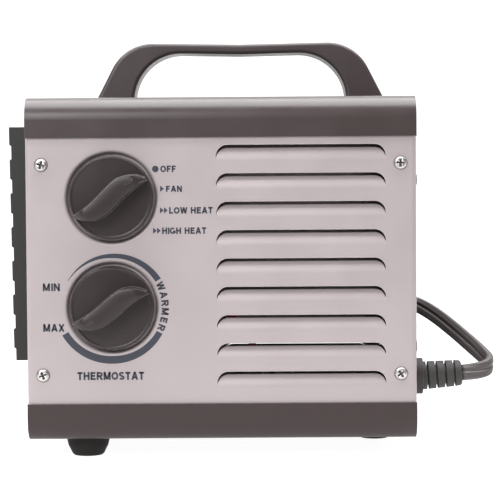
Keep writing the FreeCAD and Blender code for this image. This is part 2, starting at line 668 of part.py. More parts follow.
def control_body(label, height, across, up, deep):
    """A control's housing behind the dish, with its bushing through the dish's floor."""
    z = f"({BASE} + {height})"
    housing = box((f"{KNOB_X} - {across}", f"{KNOB_X} + {across}"), (DISH_BACK, f"{DISH_BACK} + {deep}"),
                  (f"{z} - {up}", f"{z} + {up}"))
    bushing = rod(KNOB_X, f"{PANEL_FACE} + 1.2", z, "bushing_radius", f"dish_depth + plate", "+Y")
    bore = rod(KNOB_X, PANEL_FACE, z, "shaft_radius + 0.05", "dish_depth + plate + 10.5", "+Y")
    sub_part(label, cut(fused(housing, bushing), bore))


def control_nut(label, height):
    """The hexagon nut that clamps a control in its dish."""
    prism = bind(doc.addObject("Part::Prism", "Nut"), Circumradius="bushing_radius + 2.6", Height="2")
    place(prism, KNOB_X, f"{PANEL_FACE} + dish_depth - 2", f"{BASE} + {height}", "+Y")
    bore = rod(KNOB_X, PANEL_FACE, f"{BASE} + {height}", "bushing_radius + 0.05", "dish_depth + plate", "+Y")
    sub_part(label, cut(prism, bore))


def tabs(label, spots, y, long):
    """Flat connector tabs that stand out of the back of a control."""
    sub_part(label, group(*[box((f"{x} - 0.4", f"{x} + 0.4"), (y, f"{y} + {long}"), (f"{z} - 3", f"{z} + 3"))
                            for x, z in spots]))


for name, height, turn, across, up, deep in (("selector", "selector_z", "selector_angle", 13, 13, 15),
                                             ("thermostat", "thermostat_z", "thermostat_angle", 10, 15, 11)):
    knob(f"{name}_knob", f"{BASE} + {height}", turn)
    shaft(f"{name}_shaft", height)
    control_body("selector_switch" if name == "selector" else "thermostat_base", height, across, up, deep)
    control_nut(f"{name}_nut", height)
tabs("selector_tabs", [(f"{KNOB_X} + {x}", f"{BASE} + selector_z + {z}") for x in (-9, 0, 9) for z in (-8, 8)],
     f"{DISH_BACK} + 15", 5)
THERMOSTAT_Z = f"({BASE} + thermostat_z)"
THERMOSTAT_BACK = f"({DISH_BACK} + 11)"
sub_part("thermostat_blade", fused(
    box((f"{KNOB_X} - 3", f"{KNOB_X} + 3"), (THERMOSTAT_BACK, f"{THERMOSTAT_BACK} + 3"),
        (f"{THERMOSTAT_Z} - 14", f"{THERMOSTAT_Z} - 9")),
    box((f"{KNOB_X} - 3", f"{KNOB_X} + 3"), (f"{THERMOSTAT_BACK} + 3", f"{THERMOSTAT_BACK} + 3.8"),
        (f"{THERMOSTAT_Z} - 14", f"{THERMOSTAT_Z} + 13"))))

TILT_X = "(casing_x + 30)"
TILT_Y = f"({NEAR} + 22)"
TILT_Z = f"({BASE} + plate)"
PIVOT_Z = f"({TILT_Z} + 40)"
TILT_WIDTH = (f"{TILT_Y} - 8", f"{TILT_Y} + 8")
sub_part("tilt_switch_bracket", cut(fused(
    box((f"{TILT_X} - 9", f"{TILT_X} + 9"), TILT_WIDTH, (TILT_Z, f"{TILT_Z} + 1.5")),
    box((f"{TILT_X} - 9", f"{TILT_X} - 7.5"), TILT_WIDTH, (TILT_Z, f"{TILT_Z} + 46")),
    box((f"{TILT_X} + 7.5", f"{TILT_X} + 9"), TILT_WIDTH, (TILT_Z, f"{TILT_Z} + 46"))),
    rod(f"{TILT_X} - 12", TILT_Y, PIVOT_Z, "1.55", 24, "+X")))
sub_part("tilt_switch_pin", rod(f"{TILT_X} - 10", TILT_Y, PIVOT_Z, "1.5", 20, "+X"))
sub_part("tilt_switch_pendulum", cut(fused(
    rod(f"{TILT_X} - 4", TILT_Y, PIVOT_Z, "4", 8, "+X"),
    box((f"{TILT_X} - 1.5", f"{TILT_X} + 1.5"), (f"{TILT_Y} - 1.5", f"{TILT_Y} + 1.5"),
        (f"{PIVOT_Z} - 20", PIVOT_Z)),
    box((f"{TILT_X} - 5", f"{TILT_X} + 5"), (f"{TILT_Y} - 4", f"{TILT_Y} + 4"),
        (f"{PIVOT_Z} - 30", f"{PIVOT_Z} - 18"))),
    rod(f"{TILT_X} - 6", TILT_Y, PIVOT_Z, "1.56", 12, "+X")))
sub_part("tilt_switch_contacts", fused(
    box((f"{TILT_X} + 9", f"{TILT_X} + 17"), (f"{TILT_Y} - 6", f"{TILT_Y} + 6"), (TILT_Z, f"{TILT_Z} + 22")),
    box((f"{TILT_X} + 12", f"{TILT_X} + 12.8"), (f"{TILT_Y} - 3", f"{TILT_Y} + 3"),
        (f"{TILT_Z} + 22", f"{TILT_Z} + 28"))))

# ---------------------------------------------------------------- air path

AXIS = ("casing_y", DUCT_Z)
DUCT_Y = ("casing_y - duct_width / 2", "casing_y + duct_width / 2")
DUCT_SPAN = (f"{DUCT_Z} - duct_height / 2", f"{DUCT_Z} + duct_height / 2")
ELEMENT_X = (f"{FRONT} + 2 * plate", f"{FRONT} + 2 * plate + 20")
SHROUD_X = (f"{FRONT} + 40.5", f"{FRONT} + 62.5")
SHROUD_BACK = f"({FRONT} + 62.5)"
FAN_X = f"({FRONT} + 51.5)"


def frame_of(x, wall):
    """The duct's outline between two limits along X, with a wall all round."""
    inside_y = (f"{DUCT_Y[0]} + {wall}", f"{DUCT_Y[1]} - {wall}")
    inside_z = (f"{DUCT_SPAN[0]} + {wall}", f"{DUCT_SPAN[1]} - {wall}")
    return cut(box(x, DUCT_Y, DUCT_SPAN), box((f"{x[0]} - 1", f"{x[1]} + 1"), inside_y, inside_z))


sub_part("element_frame", frame_of(ELEMENT_X, 5))
sub_part("air_duct", frame_of((ELEMENT_X[1], SHROUD_X[0]), "duct_wall"))
sub_part("fan_shroud", fused(
    frame_of(SHROUD_X, "duct_wall"),
    cut(box((f"{SHROUD_BACK} - 3", SHROUD_BACK), DUCT_Y, DUCT_SPAN),
        rod(f"{SHROUD_BACK} - 4", *AXIS, "throat_radius", 5, "+X")),
    cut(rod(f"{SHROUD_BACK} - 18", *AXIS, "throat_radius + duct_wall", 18, "+X"),
        rod(f"{SHROUD_BACK} - 19", *AXIS, "throat_radius", 20, "+X"))))

STONE_X = (size(f"{ELEMENT_X[0]} + 4"), size(f"{ELEMENT_X[0]} + 17"))
STONE_ROWS = 4
STONE_HEIGHT = 2.6
element_half = size("duct_height") / 2 - 5
element_side = size("duct_width") / 2 - 10
row_pitch = 2 * element_half / (STONE_ROWS + 1)
middle_y, middle_z = size("casing_y"), size(DUCT_Z)
stone_levels = [middle_z - element_half + row_pitch * (row + 1) for row in range(STONE_ROWS)]


def slab(x, y, z):
    """A block between measured limits."""
    return Part.makeBox(x[1] - x[0], y[1] - y[0], z[1] - z[0], Vector(x[0], y[0], z[0]))


sub_part("ceramic_stones", shaped("Stones", Part.makeCompound([
    slab(STONE_X, (middle_y - element_side, middle_y + element_side),
         (level - STONE_HEIGHT / 2, level + STONE_HEIGHT / 2)) for level in stone_levels])))
FIN_PITCH = 3.0
FIN_THICKNESS = 0.6
fin_levels = [middle_z - element_half] + stone_levels + [middle_z + element_half]
fins = []
for low, high in zip(fin_levels, fin_levels[1:]):
    low_edge = low + (STONE_HEIGHT / 2 if low in stone_levels else 0)
    high_edge = high - (STONE_HEIGHT / 2 if high in stone_levels else 0)
    for index in range(int(2 * element_side / FIN_PITCH)):
        fin_y = middle_y - element_side + 1 + index * FIN_PITCH
        fins.append(slab(STONE_X, (fin_y, fin_y + FIN_THICKNESS), (low_edge, high_edge)))
sub_part("element_fins", shaped("Fins", Part.makeCompound(fins)))
sub_part("element_tabs", shaped("Tabs", Part.makeCompound([
    slab((STONE_X[0] + 3, STONE_X[1] - 3), (middle_y - element_side - 4.5, middle_y - element_side),
         (level - 0.4, level + 0.4)) for level in stone_levels])))

CUTOFF = (f"{SHROUD_X[0]} - 11", "casing_y")
sub_part("thermal_cutoff", fused(
    rod(*CUTOFF, DUCT_SPAN[1], 8, 5),
    *[box((f"{CUTOFF[0]} {side} 4 - 0.4", f"{CUTOFF[0]} {side} 4 + 0.4"), ("casing_y - 3", "casing_y + 3"),
          (DUCT_SPAN[1], f"{DUCT_SPAN[1]} + 11")) for side in "-+"]))


def blade_section(radius, chord, pitch, thickness=1.6):
    """A blade's section at a radius: a strip at a pitch to the plane of the fan."""
    along_x, along_y = math.sin(math.radians(pitch)), math.cos(math.radians(pitch))
    corners = [Vector(end * chord / 2 * along_x + side * thickness / 2 * along_y,
                      end * chord / 2 * along_y - side * thickness / 2 * along_x, radius)
               for end, side in ((-1, -1), (1, -1), (1, 1), (-1, 1))]
    return Part.makePolygon(corners + corners[:1])


BLADES = 7
hub_radius, tip = size("hub_radius"), size("fan_radius")
blade = Part.makeLoft([blade_section(hub_radius - 1.5, 15, 52), blade_section(tip - 1.8, 26, 32)], True)
fan_shape = Part.makeCylinder(hub_radius, 16, Vector(-8, 0, 0), Vector(1, 0, 0))
for index in range(BLADES):
    turned = blade.copy()
    turned.rotate(Vector(), Vector(1, 0, 0), 360 * index / BLADES)
    fan_shape = fan_shape.fuse(turned)
fan_shape = fan_shape.cut(Part.makeCylinder(size("spindle + 0.02"), 15, Vector(-6, 0, 0), Vector(1, 0, 0)))
fan = sub_part("fan_blades", shaped("Fan", fan_shape))
place(fan, FAN_X, *AXIS)

STACK_X = (f"{SHROUD_BACK} + 7.5", f"{SHROUD_BACK} + 24.5")
REAR_PLATE_X = (f"{STACK_X[1]} + 5.3", f"{STACK_X[1]} + 6.9")
MOTOR_SCREWS = [(f"casing_y {side} 19", f"{DUCT_Z} + 16") for side in "-+"]


def bored(block, x, radius, *spots):
    """A block with round holes along X."""
    return cut(block, *[rod(f"{x} - 1", y, z, radius, 60, "+X") for y, z in spots])


sub_part("motor_shaft", rod(f"{FAN_X} - 6", *AXIS, "spindle", f"{REAR_PLATE_X[1]} + 3 - {FAN_X} + 6", "+X"))
sub_part("motor_rotor", cut(rod(STACK_X[0], *AXIS, 11.6, 17, "+X"),
                            rod(f"{STACK_X[0]} - 1", *AXIS, "spindle + 0.02", 19, "+X")))
stack = box(STACK_X, ("casing_y - 24", "casing_y + 24"), (f"{DUCT_Z} - 38", f"{DUCT_Z} + 22"))
window = box((f"{STACK_X[0]} - 1", f"{STACK_X[1]} + 1"), ("casing_y - 14", "casing_y + 14"),
             (f"{DUCT_Z} - 30", f"{DUCT_Z} - 16"))
sub_part("motor_stator", bored(cut(stack, window, rod(f"{STACK_X[0]} - 1", *AXIS, 12.2, 20, "+X")),
                               STACK_X[0], "screw_shank + 0.1", *MOTOR_SCREWS))
sub_part("motor_coil", cut(
    box((f"{STACK_X[0]} - 4.5", f"{STACK_X[1]} + 4.5"), ("casing_y - 13", "casing_y + 13"),
        (f"{DUCT_Z} - 44", f"{DUCT_Z} - 24")),
    box((f"{STACK_X[0]} - 0.2", f"{STACK_X[1]} + 0.2"), ("casing_y - 14", "casing_y + 14"),
        (f"{DUCT_Z} - 38.2", f"{DUCT_Z} - 29.8"))))
strip = fused(box((SHROUD_BACK, f"{SHROUD_BACK} + 1.6"), ("casing_y - 11", "casing_y + 11"), DUCT_SPAN),
              box((SHROUD_BACK, f"{SHROUD_BACK} + 1.6"), ("casing_y - 23", "casing_y + 23"),
                  (f"{DUCT_Z} + 10", f"{DUCT_Z} + 22")))
front_bracket = bored(bored(strip, SHROUD_BACK, "5.05", AXIS), SHROUD_BACK, "screw_shank + 0.1", *MOTOR_SCREWS)
sub_part("motor_bracket", front_bracket)
cap = box(REAR_PLATE_X, ("casing_y - 24", "casing_y + 24"), (f"{DUCT_Z} - 9", f"{DUCT_Z} + 22"))
sub_part("motor_end_plate", bored(bored(cap, REAR_PLATE_X[0], "5.05", AXIS), REAR_PLATE_X[0],
                                  "screw_shank + 0.1", *MOTOR_SCREWS))
sub_part("motor_bearings", group(*[
    bored(rod(x, *AXIS, 5, 4.5, "+X"), x, "spindle + 0.05", AXIS)
    for x in (f"{SHROUD_BACK} - 1.4", f"{REAR_PLATE_X[0]} - 1.4")]))
sub_part("motor_spacers", group(*[
    bored(rod(x, y, z, 3.4, long, "+X"), x, "screw_shank + 0.1", (y, z))
    for y, z in MOTOR_SCREWS
    for x, long in ((f"{SHROUD_BACK} + 1.6", 5.9), (STACK_X[1], 5.3))]))
sub_part("motor_screws", group(*[
    fused(rod(SHROUD_BACK, y, z, "screw_shank", f"{REAR_PLATE_X[1]} - {SHROUD_BACK}", "+X"),
          rod(REAR_PLATE_X[1], y, z, "screw_head", 2, "+X")) for y, z in MOTOR_SCREWS]))

# ---------------------------------------------------------------- wiring

RELIEF = (f"{NEAR} + relief_y", f"{BASE} + relief_z")
sleeve = new_body(f"{REAR} + 3", *RELIEF)
sleeve.Placement = Placement(Vector(), Rotation(Vector(0, 1, 0), size("90 - relief_tilt")))
sleeve.setExpression("Placement.Rotation.Angle", formula("90 - relief_tilt"))
half = sketch(sleeve, "XZ_Plane")
ribs = [(0, 0), ("relief_sleeve", 0)]
for groove in range(4):
    start = f"3.8 + {groove} * 4.9"
    shrink = f"relief_sleeve - {groove} * 0.15"
    ribs += [(shrink, start), ("relief_sleeve - 2.4", f"{start} + 0.2"),
             ("relief_sleeve - 2.4", f"{start} + 0.9"), (shrink, f"{start} + 1.1")]
ribs += [("relief_sleeve - 0.8", "relief_length + 0.4"), ("relief_sleeve - 1.6", "relief_length + 1"),
         (0, "relief_length + 1")]
outline(half, ribs)
spin(sleeve, half)
sub_part("strain_relief", fused(
    rod(f"{REAR} - plate", *RELIEF, "relief_flange", "plate + 4.6", "+X"),
    rod(f"{REAR} - 3 * plate - 3", *RELIEF, "relief_sleeve - 1.3", "3 * plate + 3", "+X"), sleeve))

BLOCK_X = (f"{REAR} - 44", f"{REAR} - 14")
BLOCK_Z = (f"{BASE} + plate", f"{BASE} + plate + 13")
block = box(BLOCK_X, (f"{NEAR} + 38", f"{NEAR} + 54"), BLOCK_Z)
wells = [rod(f"{BLOCK_X[0]} + 5 + {index} * 10", f"{NEAR} + 46", f"{BLOCK_Z[1]} - 6", 2.6, 7)
         for index in range(3)]
sub_part("terminal_block", cut(block, *wells))
sub_part("terminal_screws", group(*[
    rod(f"{BLOCK_X[0]} + 5 + {index} * 10", f"{NEAR} + 46", f"{BLOCK_Z[1]} - 6", 2.4, 4) for index in range(3)]))

relief_end = Vector(size(f"{REAR} - 3 * plate - 3"), *[size(text) for text in RELIEF])
block_top = Vector(size(BLOCK_X[0]), size(f"{NEAR} + 38"), size(BLOCK_Z[1]))
duct_side = size(f"{NEAR} + 26")
switch_back = size(f"{DISH_BACK} + 20")
knob_line, selector_line = size(KNOB_X), size(f"{BASE} + selector_z")
LEAD_RADIUS = 1.1
lead_routes = []
for index, shift in enumerate((-2, 2)):
    well_x = block_top.x + 25 - 10 * index
    start_y = block_top.y + 3 + 5 * (index + 1)
    tab_z = selector_line - 4 * shift
    lead_routes.append([relief_end + Vector(0, shift, 0), relief_end + Vector(-12, shift, 0),
                        Vector(well_x, block_top.y - 12 + shift, block_top.z - 5),
                        Vector(well_x, block_top.y, block_top.z - 5)])
    lead_routes.append([Vector(block_top.x, start_y, block_top.z - 5),
                        Vector(block_top.x - 9, start_y, block_top.z - 5),
                        Vector(block_top.x - 30, duct_side + 10 + shift, block_top.z + 14),
                        Vector(-14 + shift, duct_side + 8 + shift, selector_line - 34),
                        Vector(knob_line + 22 + shift, switch_back - 2, tab_z),
                        Vector(knob_line + 9.4, switch_back - 2, tab_z)])
sub_part("internal_leads", shaped("Leads", Part.makeCompound(
    [tube(route, LEAD_RADIUS)[0] for route in lead_routes])))

cord_radius = size("cord_width") / 2
tilt = math.radians(size("relief_tilt"))
sleeve_end = size("relief_length + 1")
cord_start = Vector(size(f"{REAR} + 3") + sleeve_end * math.cos(tilt), relief_end.y,
                    relief_end.z + sleeve_end * math.sin(tilt))
on_floor = cord_radius
coil_line = (size("coil_inner") + size("coil_outer")) / 2 + cord_radius
coil_x, coil_y = size("coil_x"), size("coil_y")
sleeve_way = Vector(math.cos(tilt), 0, math.sin(tilt))
CORD_ROUTE = [cord_start, cord_start + sleeve_way * 11, (152.5, -47.5, 48), (149, -36.5, 52.2), (143.6, -20, 56.6),
              (138, 0, 61.1), (129.4, 25, 67.8), (120.6, 50, 74), (116.2, 78, 74.2), (114.6, 103, 60),
              (112.8, 120, 38), (110.8, 134, 19), (108.4, 152, 7.5), (105.6, 171, on_floor)]
PLUG_X, PLUG_Y, PLUG_Z = -55, 103.6, 8.5
TAIL_ROUTE = [(-2, 166, on_floor), (-4, 141, on_floor), (-17.5, 119.5, on_floor + 1),
              (-38, 106.2, PLUG_Z - 1), (PLUG_X, PLUG_Y, PLUG_Z)]
for label, route in (("cord", CORD_ROUTE), ("cord_tail", TAIL_ROUTE)):
    solid, length, radii = tube(route, cord_radius)
    sub_part(label, shaped("Cord", solid))
    print(f"{label}: {length:.0f} mm, arc radii {[round(radius, 1) for radius in radii]}")
sub_part("cord_coil", cut(rod("coil_x", "coil_y", 0, "coil_outer", "coil_height"),
                          rod("coil_x", "coil_y", -1, "coil_inner", "coil_height + 2")))

plug_tail = cone(PLUG_X, PLUG_Y, PLUG_Z, "cord_width / 2 + 0.6", "cord_width / 2 + 2.2", 14, "-X")
grip = box((PLUG_X - 34, PLUG_X - 13), (PLUG_Y - 11, PLUG_Y + 11), (0, 2 * PLUG_Z))
rounded = doc.addObject("Part::Fillet", "Rounded")
rounded.Base = grip
rounded.Edges = [(number, 3, 3) for number in range(1, 13)]
sub_part("plug_body", fused(plug_tail, rounded))
sub_part("plug_blades", group(*[
    box((PLUG_X - 34 - 16, PLUG_X - 34), (PLUG_Y + side * 6.35 - 0.75, PLUG_Y + side * 6.35 + 0.75),
        (PLUG_Z - 3.2, PLUG_Z + 3.2)) for side in (-1, 1)]))

# ---------------------------------------------------------------- checks and files

doc.recompute()
for thing in doc.Objects:
    if {"Invalid", "Error"} & set(thing.State):
        raise RuntimeError(f"{thing.Label} failed: {thing.State}")
for thing in sub_parts:
    if thing.Shape.isNull() or not thing.Shape.isValid() or thing.Shape.Volume <= 0:
        raise RuntimeError(f"{thing.Label} has no valid solid")

os.makedirs("parts", exist_ok=True)
for thing in sub_parts:
    thing.Shape.exportStep(f"parts/{thing.Label}.step")
print(f"{len(sub_parts)} pieces written")
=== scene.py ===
"""Looks for the ceramic space heater: finishes, knobs, legends, mains cord and a plain studio around the CAD.

Metres, in the CAD's own frame: +Z up, the outlet grille towards -X, the control side towards -Y.
"""
import math

import bpy
import numpy as np
from bpy.props import FloatProperty, FloatVectorProperty, IntProperty, PointerProperty
from mathutils import Matrix, Vector


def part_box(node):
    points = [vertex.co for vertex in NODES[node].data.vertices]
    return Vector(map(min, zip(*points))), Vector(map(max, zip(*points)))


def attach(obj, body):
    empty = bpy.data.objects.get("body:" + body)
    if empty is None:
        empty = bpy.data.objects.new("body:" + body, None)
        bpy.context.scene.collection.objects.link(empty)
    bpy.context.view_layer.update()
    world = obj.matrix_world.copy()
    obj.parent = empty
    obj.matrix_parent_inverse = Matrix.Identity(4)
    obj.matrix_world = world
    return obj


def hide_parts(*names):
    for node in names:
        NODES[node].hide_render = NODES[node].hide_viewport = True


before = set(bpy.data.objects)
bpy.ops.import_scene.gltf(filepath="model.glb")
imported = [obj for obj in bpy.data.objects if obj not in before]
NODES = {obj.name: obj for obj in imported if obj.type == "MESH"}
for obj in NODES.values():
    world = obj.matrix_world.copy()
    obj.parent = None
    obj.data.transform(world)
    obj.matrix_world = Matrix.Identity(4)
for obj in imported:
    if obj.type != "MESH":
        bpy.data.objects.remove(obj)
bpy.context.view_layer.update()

bl_info = {
    "name": "Ceramic Space Heater",
    "version": (1, 0, 0),
    "blender": (4, 5, 0),
    "location": "3D View > Sidebar > Heater",
    "description": "Builds the finishes, controls, cord and studio of a ceramic space heater",
    "category": "Object",
}

MM = 0.001
SELECTOR_LOW, SELECTOR_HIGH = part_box("selector_shaft")
THERMOSTAT_LOW, THERMOSTAT_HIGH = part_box("thermostat_shaft")
PANEL_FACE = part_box("control_side_panel")[0].y
SELECTOR = (SELECTOR_LOW + SELECTOR_HIGH) / 2
THERMOSTAT = (THERMOSTAT_LOW + THERMOSTAT_HIGH) / 2


# ---------------------------------------------------------------- what a user would change

def colour(name, description, default):
    """A colour that shows in the sidebar."""
    return FloatVectorProperty(name=name, description=description, default=default, size=3,
                               subtype="COLOR", min=0, max=1)


def length(name, description, default):
    """A length that shows in the sidebar."""
    return FloatProperty(name=name, description=description, default=default, min=0,
                         subtype="DISTANCE", unit="LENGTH")


def angle(name, description, degrees):
    """An angle that shows in the sidebar."""
    return FloatProperty(name=name, description=description, default=math.radians(degrees),
                         subtype="ANGLE", unit="ROTATION")


class HeaterColours(bpy.types.PropertyGroup):
    """Colours of the heater's finishes."""
    silver: colour("Side panels", "Satin silver paint", (0.44, 0.384, 0.392))
    charcoal: colour("Cover and tray", "Dark paint of the top cover and bottom tray", (0.047, 0.033, 0.0335))
    plastic: colour("Grille", "Textured plastic of the grille and rear panel", (0.014, 0.0128, 0.012))
    handle: colour("Handle", "Plastic of the handle", (0.05, 0.0365, 0.037))
    knob: colour("Knobs", "Plastic of the knobs", (0.03, 0.021, 0.0215))
    rubber: colour("Feet", "Rubber of the feet", (0.014, 0.011, 0.011))
    cord: colour("Cord", "Jacket of the mains cord", (0.088, 0.0755, 0.0755))
    ink: colour("Legends", "Printed legends and dial", (0.034, 0.038, 0.056))


class HeaterSizes(bpy.types.PropertyGroup):
    """Sizes of the pieces that are made here."""
    knob_radius: length("Knob radius", "Radius of both knobs", 22.4 * MM)
    knob_face: length("Knob face", "Rim of the knob's face in front of the panel", 5.0 * MM)
    knob_grip: length("Knob grip", "Top of the knob's grip in front of the panel", 15.4 * MM)
    ink_lift: length("Ink lift", "Thickness of the printed legends", 0.05 * MM)
    cord_width: length("Cord width", "Flat cord across both cores", 9.2 * MM)
    cord_thickness: length("Cord thickness", "Flat cord across one core", 4.6 * MM)
    coil_radius: length("Coil radius", "Outermost turn of the coiled cord", 54.8 * MM)


class HeaterStudio(bpy.types.PropertyGroup):
    """The camera and lights."""
    place: FloatVectorProperty(name="Camera place", description="Where the camera stands", size=3,
                               default=(0.0246, -1.0092, 0.1506), subtype="TRANSLATION", unit="LENGTH")
    pan: angle("Camera pan", "Turn of the view towards +X", -0.333)
    tilt: angle("Camera tilt", "Lift of the view above the horizontal", -2.282)
    roll: angle("Camera roll", "Turn of the camera about its view", -0.39)
    lens: FloatProperty(name="Lens", description="Focal length in millimetres", default=125.3, min=10)
    overhead: FloatProperty(name="Overhead light", description="Power of the softbox above the heater",
                            default=25.0, min=0, unit="POWER")
    front: FloatProperty(name="Front light", description="Power of the softbox beside the camera",
                         default=19.0, min=0, unit="POWER")
    behind: FloatProperty(name="Backdrop light", description="Power of the light on the backdrop's wall",
                          default=20.0, min=0, unit="POWER")
    surround: FloatProperty(name="Surround", description="Strength of the soft grey surround",
                            default=0.22, min=0)
    wall: length("Wall", "From the heater to the backdrop's wall", 2.2)


# ---------------------------------------------------------------- shader helpers

def add_node(tree, kind, inputs=None, **settings):
    """A shader node with its settings and socket values."""
    made = tree.nodes.new(kind)
    for name, value in settings.items():
        setattr(made, name, value)
    for name, value in (inputs or {}).items():
        made.inputs[name].default_value = value
    return made


def join(tree, source, output, target, socket):
    """Feed a node's output into another node's input."""
    tree.links.new(source.outputs[output], target.inputs[socket])


def new_group(name, inputs, outputs):
    """An empty node group with float inputs and the given outputs, and its two end nodes."""
    tree = bpy.data.node_groups.new(name, "ShaderNodeTree")
    for label, default in inputs.items():
        socket = tree.interface.new_socket(label, in_out="INPUT", socket_type="NodeSocketFloat")
        socket.default_value = default
    for label, kind in outputs.items():
        tree.interface.new_socket(label, in_out="OUTPUT", socket_type=kind)
    return tree, tree.nodes.new("NodeGroupInput"), tree.nodes.new("NodeGroupOutput")


def shared(name, build):
    """A node group that is built on first use."""
    return bpy.data.node_groups.get(name) or build(name)


def grain_group(name):
    """Fine sprayed or moulded texture, and slow changes of tone across the surface."""
    tree, given, out = new_group(name, {"Scale": 1500.0}, {"Height": "NodeSocketFloat",
                                                           "Mottle": "NodeSocketFloat"})
    where = add_node(tree, "ShaderNodeTexCoord")
    fine = add_node(tree, "ShaderNodeTexNoise", {"Detail": 3.0, "Roughness": 0.6})
    slow = add_node(tree, "ShaderNodeTexNoise", {"Scale": 38.0, "Detail": 4.0, "Roughness": 0.55})
    join(tree, where, "Object", fine, "Vector")
    join(tree, where, "Object", slow, "Vector")
    join(tree, given, "Scale", fine, "Scale")
    join(tree, fine, "Fac", out, "Height")
    join(tree, slow, "Fac", out, "Mottle")
    return tree


def edge_group(name):
    """Rounded-off corners, and a broken mask along them where the finish is rubbed."""
    tree, given, out = new_group(name, {"Radius": 0.0006}, {"Mask": "NodeSocketFloat",
                                                            "Normal": "NodeSocketVector"})
    soft = add_node(tree, "ShaderNodeBevel", samples=6)
    plain = add_node(tree, "ShaderNodeNewGeometry")
    facing = add_node(tree, "ShaderNodeVectorMath", operation="DOT_PRODUCT")
    ramp = add_node(tree, "ShaderNodeMapRange", {"From Min": 0.985, "From Max": 0.84})
    where = add_node(tree, "ShaderNodeTexCoord")
    broken = add_node(tree, "ShaderNodeTexNoise", {"Scale": 420.0, "Detail": 3.0})
    strength = add_node(tree, "ShaderNodeMapRange", {"From Min": 0.3, "From Max": 0.62})
    both = add_node(tree, "ShaderNodeMath", operation="MULTIPLY")
    join(tree, given, "Radius", soft, "Radius")
    join(tree, soft, "Normal", facing, 0)
    join(tree, plain, "Normal", facing, 1)
    join(tree, facing, "Value", ramp, "Value")
    join(tree, where, "Object", broken, "Vector")
    join(tree, broken, "Fac", strength, "Value")
    join(tree, ramp, "Result", both, 0)
    join(tree, strength, "Result", both, 1)
    join(tree, both, "Value", out, "Mask")
    join(tree, soft, "Normal", out, "Normal")
    return tree


def streak_group(name):
    """Fine drawn lines and laminations, long in two directions and close in the third."""
    tree, given, out = new_group(name, {"Along X": 40.0, "Along Y": 40.0, "Along Z": 2500.0},
                                 {"Height": "NodeSocketFloat"})
    where = add_node(tree, "ShaderNodeTexCoord")
    scale = add_node(tree, "ShaderNodeCombineXYZ")
    stretched = add_node(tree, "ShaderNodeVectorMath", operation="MULTIPLY")
    lines = add_node(tree, "ShaderNodeTexNoise", {"Scale": 1.0, "Detail": 2.0})
    for letter in "XYZ":
        join(tree, given, "Along " + letter, scale, letter)
    join(tree, where, "Object", stretched, 0)
    join(tree, scale, "Vector", stretched, 1)
    join(tree, stretched, "Vector", lines, "Vector")
    join(tree, lines, "Fac", out, "Height")
    return tree


def dust_group(name):
    """A patchy mask on surfaces that face up, where dust settles."""
    tree, given, out = new_group(name, {"Amount": 0.2}, {"Mask": "NodeSocketFloat"})
    plain = add_node(tree, "ShaderNodeNewGeometry")
    parts = add_node(tree, "ShaderNodeSeparateXYZ")
    up = add_node(tree, "ShaderNodeMapRange", {"From Min": 0.75, "From Max": 1.0})
    where = add_node(tree, "ShaderNodeTexCoord")
    patches = add_node(tree, "ShaderNodeTexNoise", {"Scale": 160.0, "Detail": 6.0, "Roughness": 0.7})
    patchy = add_node(tree, "ShaderNodeMapRange", {"From Min": 0.4, "From Max": 0.75})
    first = add_node(tree, "ShaderNodeMath", operation="MULTIPLY")
    second = add_node(tree, "ShaderNodeMath", operation="MULTIPLY")
    join(tree, plain, "Normal", parts, "Vector")
    join(tree, parts, "Z", up, "Value")
    join(tree, where, "Object", patches, "Vector")
    join(tree, patches, "Fac", patchy, "Value")
    join(tree, up, "Result", first, 0)
    join(tree, patchy, "Result", first, 1)
    join(tree, first, "Value", second, 0)
    join(tree, given, "Amount", second, 1)
    join(tree, second, "Value", out, "Mask")
    return tree


DUST_COLOUR = (0.5, 0.48, 0.46, 1.0)
COAT_ROUGHNESS = 0.25
ROUGHNESS_SPREAD = 0.06


def blended(tree, factor, below, above):
    """A colour that goes from one to another by a mask. Each colour is a value or an output."""
    mix = add_node(tree, "ShaderNodeMix", data_type="RGBA")
    tree.links.new(factor, mix.inputs["Factor"])
    colours = [socket for socket in mix.inputs if socket.type == "RGBA"]
    for socket, value in zip(colours, (below, above)):
        if isinstance(value, bpy.types.NodeSocket):
            tree.links.new(value, socket)
        else:
            socket.default_value = value
    return next(socket for socket in mix.outputs if socket.type == "RGBA")


def shade(tint, factor):
    """A colour made lighter or darker."""
    return tuple(min(1.0, value * factor) for value in tint[:3]) + (1.0,)


